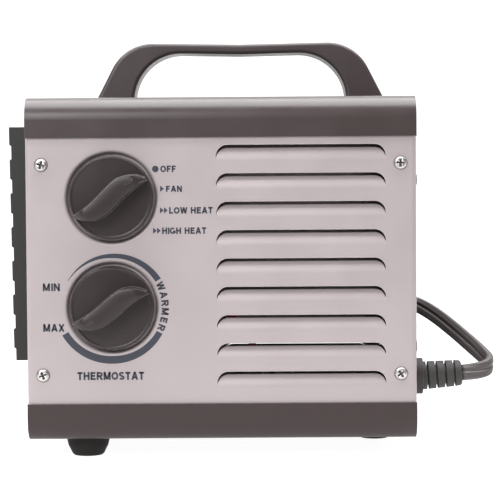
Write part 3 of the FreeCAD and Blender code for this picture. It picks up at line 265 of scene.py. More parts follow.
def surface(name, tint, roughness, metallic=0.0, grain=1500.0, depth=0.00002, mottle=0.05, rub=None,
            dust=0.0, streaks=None, streak_depth=0.00001, coat=0.0, edge=0.0005, specular=0.5):
    """A finish: tone changes, grain, worn edges, settled dust and drawn lines over one base colour."""
    made = bpy.data.materials.get(name)
    if made:
        return made
    made = bpy.data.materials.new(name)
    made.use_nodes = True
    tree = made.node_tree
    shader = tree.nodes["Principled BSDF"]
    shader.inputs["Metallic"].default_value = metallic
    shader.inputs["Coat Weight"].default_value = coat
    shader.inputs["Coat Roughness"].default_value = COAT_ROUGHNESS
    shader.inputs["Specular IOR Level"].default_value = specular
    texture = add_node(tree, "ShaderNodeGroup", node_tree=shared("Surface Grain", grain_group))
    texture.inputs["Scale"].default_value = grain
    edges = add_node(tree, "ShaderNodeGroup", node_tree=shared("Worn Edges", edge_group))
    edges.inputs["Radius"].default_value = edge
    base = blended(tree, texture.outputs["Mottle"], shade(tint, 1 - mottle), shade(tint, 1 + mottle))
    if rub is not None:
        base = blended(tree, edges.outputs["Mask"], base, tuple(rub) + (1.0,))
    if dust:
        settled = add_node(tree, "ShaderNodeGroup", node_tree=shared("Settled Dust", dust_group))
        settled.inputs["Amount"].default_value = dust
        base = blended(tree, settled.outputs["Mask"], base, DUST_COLOUR)
    tree.links.new(base, shader.inputs["Base Color"])
    spread = add_node(tree, "ShaderNodeMapRange", {"From Min": 0.3, "From Max": 0.7,
                                                   "To Min": roughness - ROUGHNESS_SPREAD,
                                                   "To Max": roughness + ROUGHNESS_SPREAD})
    join(tree, texture, "Mottle", spread, "Value")
    join(tree, spread, "Result", shader, "Roughness")
    bump = add_node(tree, "ShaderNodeBump", {"Strength": 1.0, "Distance": depth})
    join(tree, texture, "Height", bump, "Height")
    join(tree, edges, "Normal", bump, "Normal")
    normal = bump.outputs["Normal"]
    if streaks is not None:
        lines = add_node(tree, "ShaderNodeGroup", node_tree=shared("Drawn Lines", streak_group))
        for letter, value in zip("XYZ", streaks):
            lines.inputs["Along " + letter].default_value = value
        second = add_node(tree, "ShaderNodeBump", {"Strength": 1.0, "Distance": streak_depth})
        join(tree, lines, "Height", second, "Height")
        tree.links.new(normal, second.inputs["Normal"])
        normal = second.outputs["Normal"]
    tree.links.new(normal, shader.inputs["Normal"])
    return made


# ---------------------------------------------------------------- the heater's finishes

def silver_paint(scene):
    """Satin silver paint with a fine metallic fleck."""
    return surface("Silver paint", scene.heater_colours.silver, 0.42, metallic=0.25, grain=2600,
                   depth=0.000012, mottle=0.03, rub=(0.72, 0.68, 0.68), dust=0.06, edge=0.0007)


def charcoal_paint(scene):
    """Satin dark paint with the slight orange peel of powder coat."""
    return surface("Charcoal paint", scene.heater_colours.charcoal, 0.34, grain=900, depth=0.00003,
                   mottle=0.05, rub=(0.2, 0.18, 0.18), dust=0.05, coat=0.3, edge=0.0006)


def tray_paint(scene):
    """The same dark paint without its gloss, as it is low on the tray."""
    return surface("Tray paint", scene.heater_colours.charcoal, 0.5, grain=900, depth=0.00003, mottle=0.05,
                   rub=(0.2, 0.18, 0.18), dust=0.05, edge=0.0006, specular=0.3)


def grille_plastic(scene):
    """Spark-textured dark plastic."""
    return surface("Grille plastic", scene.heater_colours.plastic, 0.55, grain=1800, depth=0.00008,
                   mottle=0.07, rub=(0.14, 0.12, 0.12), dust=0.12)


def handle_plastic(scene):
    """Dark plastic, polished a little by hands."""
    return surface("Handle plastic", scene.heater_colours.handle, 0.36, grain=1500, depth=0.00003,
                   mottle=0.06, rub=(0.16, 0.14, 0.14), dust=0.08)


def knob_plastic(scene):
    """Satin dark plastic of the knobs."""
    return surface("Knob plastic", scene.heater_colours.knob, 0.32, grain=2000, depth=0.00002, mottle=0.05,
                   specular=0.4, rub=(0.3, 0.27, 0.26), edge=0.0004)


def foot_rubber(scene):
    """Dull rubber with a little dust."""
    return surface("Foot rubber", scene.heater_colours.rubber, 0.75, grain=1300, depth=0.00005, mottle=0.12,
                   dust=0.08, specular=0.25)


def relief_rubber(scene):
    """Softer moulded rubber of the strain relief and plug."""
    return surface("Relief rubber", shade(scene.heater_colours.cord, 0.4), 0.6, grain=1500, depth=0.00003,
                   mottle=0.08, rub=(0.12, 0.11, 0.11))


def cord_jacket(scene):
    """Flexible jacket of the cord."""
    return surface("Cord jacket", scene.heater_colours.cord, 0.45, grain=1600, depth=0.00003, mottle=0.08,
                   edge=0.0003)


def screw_zinc(scene):
    """Bright zinc-plated screws."""
    return surface("Screw zinc", (0.62, 0.6, 0.58), 0.33, metallic=1.0, grain=1800, depth=0.00001,
                   mottle=0.06, edge=0.0003)


def black_screw(scene):
    """Screws with a black oxide finish."""
    return surface("Black screw", (0.05, 0.05, 0.052), 0.4, metallic=0.8, grain=1800, depth=0.00001,
                   mottle=0.1)


def painted_shade_zinc(scene):
    """Darker zinc painted on as shade in the screws' cross recesses, and as a painted shadow line around
    their rims.
    """
    return surface("Painted shade zinc", (0.16, 0.15, 0.145), 0.55, metallic=0.7, grain=1800, depth=0.00001,
                   mottle=0.15)


def bare_steel(scene):
    """Turned steel of shafts, pins and inner screws."""
    return surface("Bare steel", (0.55, 0.55, 0.56), 0.32, metallic=1.0, grain=2200, depth=0.00001,
                   mottle=0.08, streaks=(2500.0, 60.0, 60.0))


def galvanised_sheet(scene):
    """Galvanised sheet with a soft spangle."""
    return surface("Galvanised sheet", (0.6, 0.61, 0.6), 0.42, metallic=1.0, grain=260, depth=0.00001,
                   mottle=0.18)


def terminal_brass(scene):
    """Plain brass of tabs, screws, blades and bearings."""
    return surface("Terminal brass", (0.75, 0.56, 0.26), 0.3, metallic=1.0, grain=1800, depth=0.00001,
                   mottle=0.08)


def black_moulding(scene):
    """Glossy black moulded housings."""
    return surface("Black moulding", (0.02, 0.02, 0.021), 0.3, grain=1200, depth=0.00001, mottle=0.1,
                   dust=0.15)


def cream_moulding(scene):
    """Heat-proof cream moulding."""
    return surface("Cream moulding", (0.68, 0.62, 0.5), 0.5, grain=1400, depth=0.00003, mottle=0.07,
                   dust=0.1)


def grey_ceramic(scene):
    """Sintered ceramic stones."""
    return surface("Grey ceramic", (0.3, 0.28, 0.26), 0.75, grain=2600, depth=0.00006, mottle=0.12)


def fin_aluminium(scene):
    """Thin bright fins."""
    return surface("Fin aluminium", (0.8, 0.8, 0.81), 0.3, metallic=1.0, grain=1500, depth=0.00001,
                   mottle=0.06, streaks=(60.0, 60.0, 1800.0))


def motor_lamination(scene):
    """Stacked motor steel, with the edges of its sheets showing."""
    return surface("Motor lamination", (0.26, 0.26, 0.28), 0.45, metallic=0.9, grain=1200, depth=0.00002,
                   mottle=0.15, streaks=(2000.0, 8.0, 8.0), streak_depth=0.0001)


def coil_winding(scene):
    """Enamelled wire under a layer of tape."""
    return surface("Coil winding", (0.5, 0.2, 0.06), 0.35, grain=900, depth=0.00003, mottle=0.12,
                   streaks=(30.0, 30.0, 2600.0), streak_depth=0.00012, coat=0.3)


def fan_plastic(scene):
    """Black fan plastic with dust on it."""
    return surface("Fan plastic", (0.06, 0.06, 0.065), 0.45, grain=1400, depth=0.00003, mottle=0.1, dust=0.3)


def wire_insulation(scene):
    """Red insulated wire."""
    return surface("Wire insulation", (0.5, 0.04, 0.035), 0.4, grain=1400, depth=0.00002, mottle=0.08)


def legend_ink(scene):
    """Screen-printed ink."""
    return surface("Legend ink", scene.heater_colours.ink, 0.5, grain=3200, depth=0.00001, mottle=0.08,
                   edge=0.0001)


CASING_FINISHES = {
    "top_cover": charcoal_paint, "bottom_tray": tray_paint, "control_side_panel": silver_paint,
    "far_side_panel": silver_paint, "front_panel": silver_paint, "rear_panel": grille_plastic,
    "front_grille": grille_plastic, "rear_panel_screws": black_screw,
}
FITTING_FINISHES = {
    "handle": handle_plastic, "front_foot_near": foot_rubber, "front_foot_far": foot_rubber,
    "rear_foot": foot_rubber, "foot_screws": bare_steel, "handle_screws": bare_steel,
    "grille_screws": bare_steel,
}
CONTROL_FINISHES = {
    "selector_shaft": bare_steel, "selector_switch": black_moulding, "selector_nut": bare_steel,
    "selector_tabs": terminal_brass, "thermostat_shaft": bare_steel, "thermostat_base": cream_moulding,
    "thermostat_nut": bare_steel, "thermostat_blade": terminal_brass, "tilt_switch_bracket": galvanised_sheet,
    "tilt_switch_pin": bare_steel, "tilt_switch_pendulum": bare_steel, "tilt_switch_contacts": black_moulding,
}
HEAT_FINISHES = {
    "element_frame": cream_moulding, "air_duct": galvanised_sheet, "fan_shroud": black_moulding,
    "ceramic_stones": grey_ceramic, "element_fins": fin_aluminium, "element_tabs": terminal_brass,
    "thermal_cutoff": black_moulding, "fan_blades": fan_plastic, "motor_shaft": bare_steel,
    "motor_rotor": motor_lamination, "motor_stator": motor_lamination, "motor_coil": coil_winding,
    "motor_bracket": galvanised_sheet, "motor_end_plate": galvanised_sheet, "motor_bearings": terminal_brass,
    "motor_spacers": bare_steel, "motor_screws": screw_zinc,
}
WIRING_FINISHES = {
    "terminal_block": cream_moulding, "terminal_screws": terminal_brass, "internal_leads": wire_insulation,
    "strain_relief": relief_rubber, "plug_body": relief_rubber, "plug_blades": terminal_brass,
}


def dress(scene, finishes):
    """Give each CAD piece its finish."""
    for name, finish in finishes.items():
        for held in NODES[name].material_slots:
            held.material = finish(scene)


def new_piece(name, points, faces, material, body="casing", smooth=True):
    """A mesh piece that rides on a body."""
    mesh = bpy.data.meshes.new(name)
    mesh.from_pydata([tuple(point) for point in points], [], faces)
    mesh.validate()
    mesh.materials.append(material)
    if smooth:
        mesh.shade_smooth()
    else:
        mesh.shade_flat()
    piece = bpy.data.objects.new(name, mesh)
    bpy.context.scene.collection.objects.link(piece)
    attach(piece, body)
    return piece


def turns(count):
    """Evenly spaced angles all the way round."""
    return [2 * math.pi * step / count for step in range(count)]


# ---------------------------------------------------------------- knobs

GRIP_EDGE = ((-22.0, 2.6), (-16.5, 2.6), (-10.7, 3.2), (-5.0, 4.4), (0.0, 5.6), (5.0, 6.6), (9.5, 6.7),
             (14.0, 5.4), (18.4, 2.8), (21.6, -0.6))
GRIP_STEPS = 56
GRIP_SECTION = ((1.3, -0.05), (1.08, 0.03), (1.0, 0.12), (1.0, 0.9), (0.86, 0.955), (0.55, 0.99), (0.0, 1.0))
GRIP_ROUND = 0.55
GRIP_FLARE = 3.0
GRIP_SINK = 1.5
CURVE_STEPS = 24
CROWN = 0.55
CROWN_STEPS = (0.8, 0.65, 0.5, 0.35, 0.2, 0.0)
TIP_START = 15.0
TIP_FALL = 5.0
GROOVE_PLACE = (13.3, 1.4)
GROOVE_HALF = (2.5, 0.6)
GROOVE_LIP = 0.2
GROOVE_SINK = 0.12
GROOVE_TURN = 36
LIP_TURN = 8
KNOB_TURN = 128
KNOB_BACK = -2.6


def smooth_line(points, count):
    """Points evenly spread along a smooth curve through the given ones."""
    spots = np.array(points, float)
    padded = np.vstack([2 * spots[0] - spots[1], spots, 2 * spots[-1] - spots[-2]])
    curve = []
    for a, b, c, d in zip(padded, padded[1:], padded[2:], padded[3:]):
        for t in np.linspace(0, 1, CURVE_STEPS, endpoint=False):
            curve.append(0.5 * (2 * b + (c - a) * t + (2 * a - 5 * b + 4 * c - d) * t ** 2
                                + (3 * b - a - 3 * c + d) * t ** 3))
    curve.append(spots[-1])
    curve = np.array(curve)
    along = np.concatenate([[0], np.cumsum(np.linalg.norm(np.diff(curve, axis=0), axis=1))])
    return np.stack([np.interp(np.linspace(0, along[-1], count), along, curve[:, k]) for k in (0, 1)], axis=1)


def grip_sections(face, top):
    """The grip as sections across its spine, each up one side, over the crowned top and down the other."""
    upper = smooth_line(GRIP_EDGE, GRIP_STEPS)
    lower = -upper[::-1]
    spine, half = (upper + lower) / 2, (upper - lower) / 2
    sections = []
    for middle, reach in zip(spine, half):
        wide = max(0.02, float(np.hypot(*reach)))
        tip = min(1.0, max(0.0, (abs(middle[0]) - TIP_START) / (GRIP_EDGE[-1][0] - TIP_START)))
        level = top - TIP_FALL * tip ** 2
        section = []
        for share, height in GRIP_SECTION:
            pull = min(GRIP_ROUND, 0.45 * wide) * (1 - share) if share <= 1 else -GRIP_FLARE * (share - 1)
            crown = CROWN * (1 - max(0.0, 1 - pull / wide) ** 2)
            section.append((1 - pull / wide, face + height * (level - face) + crown * height))
        for share in CROWN_STEPS:
            section.append((share, level + CROWN * (1 - share ** 2)))
        whole = section + [(-share, height) for share, height in reversed(section[:-1])]
        sections.append([(*(middle + reach * share), height) for share, height in whole])
    return sections


def knob_profile(radius, face):
    """The knob's disc from its middle to its hidden back edge: radius and height, in millimetres."""
    return ((0.01, face + 0.1), (5, face + 0.08), (10, face), (14, face - 0.12), (18, face - 0.3),
            (radius - 2.1, face - 0.42), (radius - 1.6, face - 0.44), (radius - 1.3, face - 0.24),
            (radius - 1.0, face - 0.2), (radius - 0.7, face - 0.3), (radius - 0.35, face - 0.6),
            (radius - 0.1, face - 1.1), (radius, face - 1.8), (radius, KNOB_BACK),
            (radius - 1.6, KNOB_BACK))


def on_knob(axis, pointer, spots):
    """Spots on a knob, in millimetres along its pointer, across it and out from the panel, as points."""
    turned = Matrix.Rotation(math.radians(pointer), 3, "Z")
    placed = []
    for spot in spots:
        flat = turned @ Vector(spot) * MM
        placed.append((axis.x + flat.x, PANEL_FACE - flat.z, axis.z + flat.y))
    return placed


def strip_faces(rows, around, first=0, closed=True):
    """Faces between rows of points that all have the same count."""
    faces = []
    for row in range(rows - 1):
        for step in range(around if closed else around - 1):
            after = (step + 1) % around
            low, high = first + row * around, first + (row + 1) * around
            faces.append((low + step, low + after, high + after, high + step))
    return faces


def add_knob(scene, name, axis, pointer, body, node):
    """A knob: a slightly hollow disc with a leaf-shaped grip across it."""
    sizes = scene.heater_sizes
    radius, face, top = sizes.knob_radius / MM, sizes.knob_face / MM, sizes.knob_grip / MM
    spots = []
    profile = knob_profile(radius, face)
    for reach, height in profile:
        for turn in turns(KNOB_TURN):
            spots.append((reach * math.cos(turn), reach * math.sin(turn), height))
    faces = [corners[::-1] for corners in strip_faces(len(profile), KNOB_TURN)]
    sections = grip_sections(face - GRIP_SINK, top)
    first = len(spots)
    for section in sections:
        spots += section
    faces += strip_faces(len(sections), len(sections[0]), first, closed=False)
    piece = new_piece(name, on_knob(axis, pointer, spots), faces, knob_plastic(scene), body)
    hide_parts(node)
    return piece


def add_pointer_groove(scene, name, axis, pointer, body):
    """The raised lip of the small groove that marks a knob's pointer end."""
    top = scene.heater_sizes.knob_grip / MM + CROWN - GROOVE_SINK
    spots = []
    for turn in turns(GROOVE_TURN):
        for swing in turns(LIP_TURN):
            reach = GROOVE_LIP * math.cos(swing)
            spots.append((GROOVE_PLACE[0] + (GROOVE_HALF[0] + reach) * math.cos(turn),
                          GROOVE_PLACE[1] + (GROOVE_HALF[1] + reach) * math.sin(turn),
                          top + GROOVE_LIP * math.sin(swing)))
    spots += spots[:LIP_TURN]
    faces = strip_faces(GROOVE_TURN + 1, LIP_TURN)
    return new_piece(name, on_knob(axis, pointer, spots), faces, knob_plastic(scene), body)


# ---------------------------------------------------------------- panel screws

SCREW_LOW, SCREW_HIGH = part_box("panel_screws")
HEAD_RADIUS = 3.7
HEAD_TURN = 96
CROSS_REACH = 2.2
CROSS_HALF = 0.52
HEAD_RINGS = ((3.7, 0.0), (3.62, 0.2), (3.4, 0.5), (3.25, 0.9), (3.0, 1.25), (2.8, 1.45), (2.6, 1.56))
CROSS_RINGS = ((1.1, 1.66), (1.0, 1.6), (0.9, 1.2), (0.75, 0.5), (0.1, 0.35))
# How many bands at the foot of each head take the darker zinc, as a painted shadow line around the rim.
SHADED_RIM_RINGS = 2
FIRST_SWING = 0.35
NEXT_SWING = 0.9


def cross_reach(turn):
    """How far the cross recess reaches in a direction."""
    bars = []
    for swing in (turn, turn + math.pi / 2):
        along, aside = abs(math.cos(swing)), abs(math.sin(swing))
        bars.append(min(CROSS_REACH / max(along, 1e-6), CROSS_HALF / max(aside, 1e-6)))
    return max(bars)


def add_screw_heads(scene, name):
    """Pan heads with cross recesses over both side panels' screws, each turned a little differently, with
    painted shade in the recesses and a painted shadow line round the rims.
    """
    spots_x = (SCREW_LOW.x + HEAD_RADIUS * MM, SCREW_HIGH.x - HEAD_RADIUS * MM)
    spots_z = (SCREW_LOW.z + HEAD_RADIUS * MM, SCREW_HIGH.z - HEAD_RADIUS * MM)
    far_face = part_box("far_side_panel")[1].y
    places = [(x, z, side) for side in (-1, 1) for x in spots_x for z in spots_z]
    rings = [(None, reach, height) for reach, height in HEAD_RINGS]
    rings += [(share, 0, height) for share, height in CROSS_RINGS]
    points, faces = [], []
    for index, (x, z, outward) in enumerate(places):
        swing = FIRST_SWING + NEXT_SWING * index
        face_y = PANEL_FACE if outward < 0 else far_face
        first = len(points)
        for share, reach, height in rings:
            for turn in turns(HEAD_TURN):
                out = reach if share is None else share * cross_reach(turn)
                points.append((x + out * MM * math.cos(turn + swing), face_y + outward * height * MM,
                               z + out * MM * math.sin(turn + swing)))
        ring_faces = strip_faces(len(rings), HEAD_TURN, first)
        faces += ring_faces if outward > 0 else [corners[::-1] for corners in ring_faces]
    piece = new_piece(name, points, faces, screw_zinc(scene))
    # The foot bands of each head and the bands inside its cross recess take the darker zinc: painted shadow
    # around the rim, painted shade in the recess.
    piece.data.materials.append(painted_shade_zinc(scene))
    bands = len(HEAD_RINGS) + len(CROSS_RINGS) - 1
    for face in piece.data.polygons:
        band = face.index // HEAD_TURN % bands
        face.material_index = int(band < SHADED_RIM_RINGS or band > len(HEAD_RINGS))
    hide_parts("panel_screws")
    return piece


# ---------------------------------------------------------------- printed legends

def on_panel(centre, x, z, lift):
    """A point on the control side, from millimetres across and up from a knob's axis."""
    return (centre.x + x * MM, PANEL_FACE - lift, centre.z + z * MM)


def print_shape(scene, name, centre, outline_points, faces):
    """A flat patch of ink on the control side."""
    lift = scene.heater_sizes.ink_lift
    points = [on_panel(centre, x, z, lift) for x, z in outline_points]
    return new_piece(name, points, faces, legend_ink(scene), smooth=False)


def bow(middle, reach, start, end, steps=12):
    """Points along part of an ellipse, by angles in degrees."""
    return [(middle[0] + reach[0] * math.cos(math.radians(start + (end - start) * step / steps)),
             middle[1] + reach[1] * math.sin(math.radians(start + (end - start) * step / steps)))
            for step in range(steps + 1)]


STROKE = 0.245
EDGE = STROKE / 2
TOP = 1 - EDGE
HALF = 0.5
ROUND_O = bow((0.42, HALF), (0.33, TOP - HALF), 0, 360, 32)
LETTERS = {
    "A": (0.84, [(EDGE - 0.02, 0), (0.42, 1)], [(0.42, 1), (0.86 - EDGE, 0)], [(0.2, 0.31), (0.64, 0.31)]),
    "E": (0.68, [(EDGE, 0), (EDGE, 1)], [(EDGE, TOP), (0.66, TOP)], [(EDGE, 0.52), (0.6, 0.52)],
          [(EDGE, EDGE), (0.67, EDGE)]),
    "F": (0.64, [(EDGE, 0), (EDGE, 1)], [(EDGE, TOP), (0.62, TOP)], [(EDGE, 0.5), (0.54, 0.5)]),
    "G": (0.84, bow((0.42, HALF), (0.33, TOP - HALF), 48, 322, 26), [(0.75, 0.12), (0.75, 0.46)],
          [(0.46, 0.42), (0.84, 0.42)]),
    "H": (0.78, [(EDGE, 0), (EDGE, 1)], [(0.78 - EDGE, 0), (0.78 - EDGE, 1)],
          [(EDGE, 0.52), (0.78 - EDGE, 0.52)]),
    "I": (0.19, [(EDGE, 0), (EDGE, 1)]),
    "L": (0.62, [(EDGE, 0), (EDGE, 1)], [(EDGE, EDGE), (0.62, EDGE)]),
    "M": (0.92, [(EDGE, 0), (EDGE, 1)], [(0.92 - EDGE, 0), (0.92 - EDGE, 1)], [(0.12, 1), (0.46, 0.08)],
          [(0.8, 1), (0.46, 0.08)]),
    "N": (0.78, [(EDGE, 0), (EDGE, 1)], [(0.78 - EDGE, 0), (0.78 - EDGE, 1)], [(0.1, 0.98), (0.68, 0.02)]),
    "O": (0.84, ROUND_O),
    "R": (0.78, [(EDGE, 0), (EDGE, 1)],
          [(EDGE, TOP), (0.48, TOP), *bow((0.48, 0.69), (0.2, TOP - 0.69), 90, -90), (EDGE, 0.69 * 2 - TOP)],
          [(0.42, 0.46), (0.7, 0)]),
    "S": (0.7, [*bow((0.35, 0.705), (0.25, TOP - 0.705), 25, 255),
                *bow((0.35, 0.285), (0.26, 0.285 - EDGE), 80, -155)]),
    "T": (0.68, [(0.34, 0), (0.34, 1)], [(0, TOP), (0.68, TOP)]),
    "W": (1.06, [(0.08, 1), (0.3, 0.02)], [(0.3, 0.02), (0.53, 0.98)], [(0.53, 0.98), (0.76, 0.02)],
          [(0.76, 0.02), (0.98, 1)]),
    "X": (0.76, [(0.1, 0), (0.66, 1)], [(0.1, 1), (0.66, 0)]),
    " ": (0.3,),
}
LETTER_GAP = 0.12


def word_strokes(word):
    """The strokes of a word of unit height, and its width."""
    strokes, left = [], 0.0
    for letter in word:
        wide, *lines = LETTERS[letter]
        strokes += [[(left + x, y) for x, y in line] for line in lines]
        left += wide + LETTER_GAP
    return strokes, left - LETTER_GAP


def band_faces(count):
    """Faces along a band whose points lie in pairs."""
    return [(2 * step, 2 * step + 1, 2 * step + 3, 2 * step + 2) for step in range(count)]


def inked(line, broad):
    """A line as a band of ink: its points on both sides, and the faces between them."""
    spots = [Vector(spot) for spot in line]
    points = []
    for index, spot in enumerate(spots):
        before, after = spots[max(index - 1, 0)], spots[min(index + 1, len(spots) - 1)]
        along = (after - before).normalized()
        aside = Vector((-along.y, along.x)) * broad / 2
        points += [spot + aside, spot - aside]
    return points, band_faces(len(spots) - 1)


def print_word(scene, name, word, centre, middle, size, turn=0.0):
    """A printed word, fitted to a width and height about its middle, in millimetres."""
    strokes, wide = word_strokes(word)
    stretch = size[0] / (wide * size[1])
    cosine, sine = math.cos(turn), math.sin(turn)
    points, faces = [], []
    for stroke in strokes:
        edges, bands = inked([(x * stretch, y) for x, y in stroke], STROKE)
        start = len(points)
        faces += [tuple(start + corner for corner in band) for band in bands]
        for spot in edges:
            x, y = spot.x * size[1] - size[0] / 2, (spot.y - HALF) * size[1]
            points.append((middle[0] + x * cosine - y * sine, middle[1] + x * sine + y * cosine))
    return print_shape(scene, name, centre, points, faces)


def print_disc(scene, name, centre, middle, radius, steps=40):
    """A printed dot."""
    rim = [(middle[0] + radius * math.cos(turn), middle[1] + radius * math.sin(turn))
           for turn in turns(steps)]
    return print_shape(scene, name, centre, rim, [tuple(range(steps))])


ARROW_LONG = 2.0
ARROW_HALF = 1.7
ARROW_STEP = 2.15


def print_arrows(scene, name, centre, left, middle_z, count):
    """One or two printed arrowheads that point to the words on their right."""
    points, faces = [], []
    for index in range(count):
        x = left + ARROW_STEP * index
        start = len(points)
        points += [(x, middle_z - ARROW_HALF), (x + ARROW_LONG, middle_z), (x, middle_z + ARROW_HALF)]
        faces.append((start, start + 1, start + 2))
    return print_shape(scene, name, centre, points, faces)


def print_arc(scene, name, centre, stations, steps=72):
    """A printed band around a knob. Each station is an angle and the band's inner and outer radius there."""
    start, end = stations[0][0], stations[-1][0]
    ordered = np.array(sorted(stations))
    points = []
    for step in range(steps + 1):
        turn = start + (end - start) * step / steps
        for column in (1, 2):
            reach = np.interp(turn, ordered[:, 0], ordered[:, column])
            points.append((reach * math.cos(math.radians(turn)), reach * math.sin(math.radians(turn))))
    return print_shape(scene, name, centre, points, band_faces(steps))


# ---------------------------------------------------------------- cord

CORD_ROUTE = (
    (0.1347, -0.0542, 0.0443), (0.1457, -0.0542, 0.0451), (0.1525, -0.0475, 0.0480),
    (0.1490, -0.0365, 0.0522), (0.1436, -0.0200, 0.0572), (0.1380, 0.0000, 0.0624),
    (0.1294, 0.0250, 0.0695), (0.1206, 0.0500, 0.0745), (0.1162, 0.0780, 0.0742),
    (0.1146, 0.1030, 0.0600), (0.1128, 0.1200, 0.0380), (0.1108, 0.1340, 0.0190),
    (0.1084, 0.1520, 0.0070), (0.1056, 0.1710, 0.0024),
)
COIL_MIDDLE = (0.052, 0.155)
COIL_START = math.radians(30)
COIL_END = math.radians(150) + 5 * 2 * math.pi
COIL_STEPS_PER_TURN = 18
TURN_PITCH = 9.2 * MM
LAYER_TURNS = 2
LAYER_CLIMB = 0.12
COIL_WOBBLE = 0.5 * MM
WOBBLE_RATE = 2.3
TAIL_ROUTE = ((0.0020, 0.1500, 0.0160), (-0.0020, 0.1360, 0.0120), (-0.0120, 0.1200, 0.0060),
              (-0.0260, 0.1090, 0.0060), (-0.0400, 0.1045, 0.0078), (-0.0550, 0.1036, 0.0085))
CORD_GROOVES = ((0.0, 1.0 * MM, 0.9 * MM), (0.55, 0.3 * MM, 0.5 * MM))
CORE_FLAT = 1.35
CORE_SQUARE = 1.1
CORD_TWIST = ((0.0, 52), (0.004, 60), (0.012, 84), (0.02, 92), (0.045, 118), (0.13, 126),
              (0.21, 150), (0.27, 180), (9.0, 180))


def coil_route(sizes):
    """The coiled part of the cord: flat turns that wind in, out and in again, a layer higher each time."""
    points = []
    total = COIL_END - COIL_START
    count = int(total / (2 * math.pi) * COIL_STEPS_PER_TURN)
    for step in range(count + 1):
        turn = COIL_START + total * step / count
        wound = (turn - COIL_START) / (2 * math.pi)
        layer, share = divmod(wound, LAYER_TURNS)
        inward = share if layer % 2 == 0 else LAYER_TURNS - share
        reach = sizes.coil_radius - TURN_PITCH * inward + COIL_WOBBLE * math.sin(WOBBLE_RATE * turn)
        climb = min(1.0, share / LAYER_CLIMB) if layer > 0 else 1.0
        height = sizes.cord_thickness * (layer - 0.5 + climb)
        points.append((COIL_MIDDLE[0] + reach * math.cos(turn), COIL_MIDDLE[1] + reach * math.sin(turn),
                       height))
    return points


def spline_points(name, route):
    """Points along the smooth spline that a route's points control."""
    data = bpy.data.curves.new(name, "CURVE")
    data.dimensions = "3D"
    spline = data.splines.new("NURBS")
    spline.points.add(len(route) - 1)
    for point, place in zip(spline.points, route):
        point.co = (*place, 1.0)
    spline.order_u = 3
    spline.use_endpoint_u = True
    spline.resolution_u = 10
    holder = bpy.data.objects.new(name, data)
    mesh = bpy.data.meshes.new_from_object(holder)
    line = [Vector(vertex.co) for vertex in mesh.vertices]
    bpy.data.meshes.remove(mesh)
    bpy.data.objects.remove(holder)
    bpy.data.curves.remove(data)
    return line


def twin_section(width, thickness, steps=72):
    """Across a flat two-core cord: each face has a deep groove between two finer ones."""
    core = thickness / 2
    flat = width / 2 - core
    section = []
    for step in range(steps):
        turn = 2 * math.pi * (step + 0.5) / steps
        x = flat * max(-1.0, min(1.0, math.cos(turn) * CORE_FLAT)) + core * math.cos(turn)
        y = core * math.copysign(min(1.0, abs(math.sin(turn)) * CORE_SQUARE), math.sin(turn))
        for place, deep, wide in CORD_GROOVES:
            near = abs(abs(x) - place * width / 2) / wide
            if near < 1:
                y -= math.copysign(deep * (1 - near), y)
        section.append((x, y))
    return section


def add_cord(scene):
    """The mains cord: out of the strain relief, round behind the heater, coiled, and on to the plug."""
    sizes = scene.heater_sizes
    line = spline_points("mains_cord_line", [*CORD_ROUTE, *coil_route(sizes), *TAIL_ROUTE])
    section = twin_section(sizes.cord_width, sizes.cord_thickness)
    gone = np.concatenate([[0], np.cumsum([(b - a).length for a, b in zip(line, line[1:])])])
    spots, rolls = zip(*CORD_TWIST)
    twist = np.interp(gone, spots, np.radians(rolls))
    points = []
    for index, (centre, roll) in enumerate(zip(line, twist)):
        tangent = (line[min(index + 1, len(line) - 1)] - line[max(index - 1, 0)]).normalized()
        side = Vector((0, 0, 1)).cross(tangent).normalized()
        up = tangent.cross(side)
        across = side * math.cos(roll) + up * math.sin(roll)
        through = up * math.cos(roll) - side * math.sin(roll)
        points += [centre + across * x + through * y for x, y in section]
    count = len(section)
    faces = strip_faces(len(line), count)
    faces.append(tuple(range(count))[::-1])
    faces.append(tuple(range((len(line) - 1) * count, len(line) * count)))
    piece = new_piece("mains_cord", points, faces, cord_jacket(scene))
    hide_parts("cord", "cord_coil", "cord_tail")
    return piece


# ---------------------------------------------------------------- operators

class HEATER_OT_casing(bpy.types.Operator):
    """Finish the cover, tray, panels, grille and their screws"""
    bl_idname = "heater.casing"
    bl_label = "Casing"

    def execute(self, context):
        dress(context.scene, CASING_FINISHES)
        add_screw_heads(context.scene, "panel_screw_heads")
        return {"FINISHED"}


class HEATER_OT_fittings(bpy.types.Operator):
    """Finish the handle, the feet and their screws"""
    bl_idname = "heater.fittings"
    bl_label = "Handle and Feet"

    def execute(self, context):
        dress(context.scene, FITTING_FINISHES)
        return {"FINISHED"}


class HEATER_OT_inside(bpy.types.Operator):
    """Finish the controls, element, fan, motor and wiring inside the casing"""
    bl_idname = "heater.inside"
    bl_label = "Inside Parts"

    def execute(self, context):
        for finishes in (CONTROL_FINISHES, HEAT_FINISHES, WIRING_FINISHES):
            dress(context.scene, finishes)
        return {"FINISHED"}


POINTERS = (("selector", SELECTOR, 32.0), ("thermostat", THERMOSTAT, 207.5))


class HEATER_OT_knobs(bpy.types.Operator):
    """Make both knobs"""
    bl_idname = "heater.knobs"
    bl_label = "Knobs"

    def execute(self, context):
        for body, axis, pointer in POINTERS:
            add_knob(context.scene, body + "_grip", axis, pointer, body, body + "_knob")
            add_pointer_groove(context.scene, body + "_groove", axis, pointer, body)
        return {"FINISHED"}


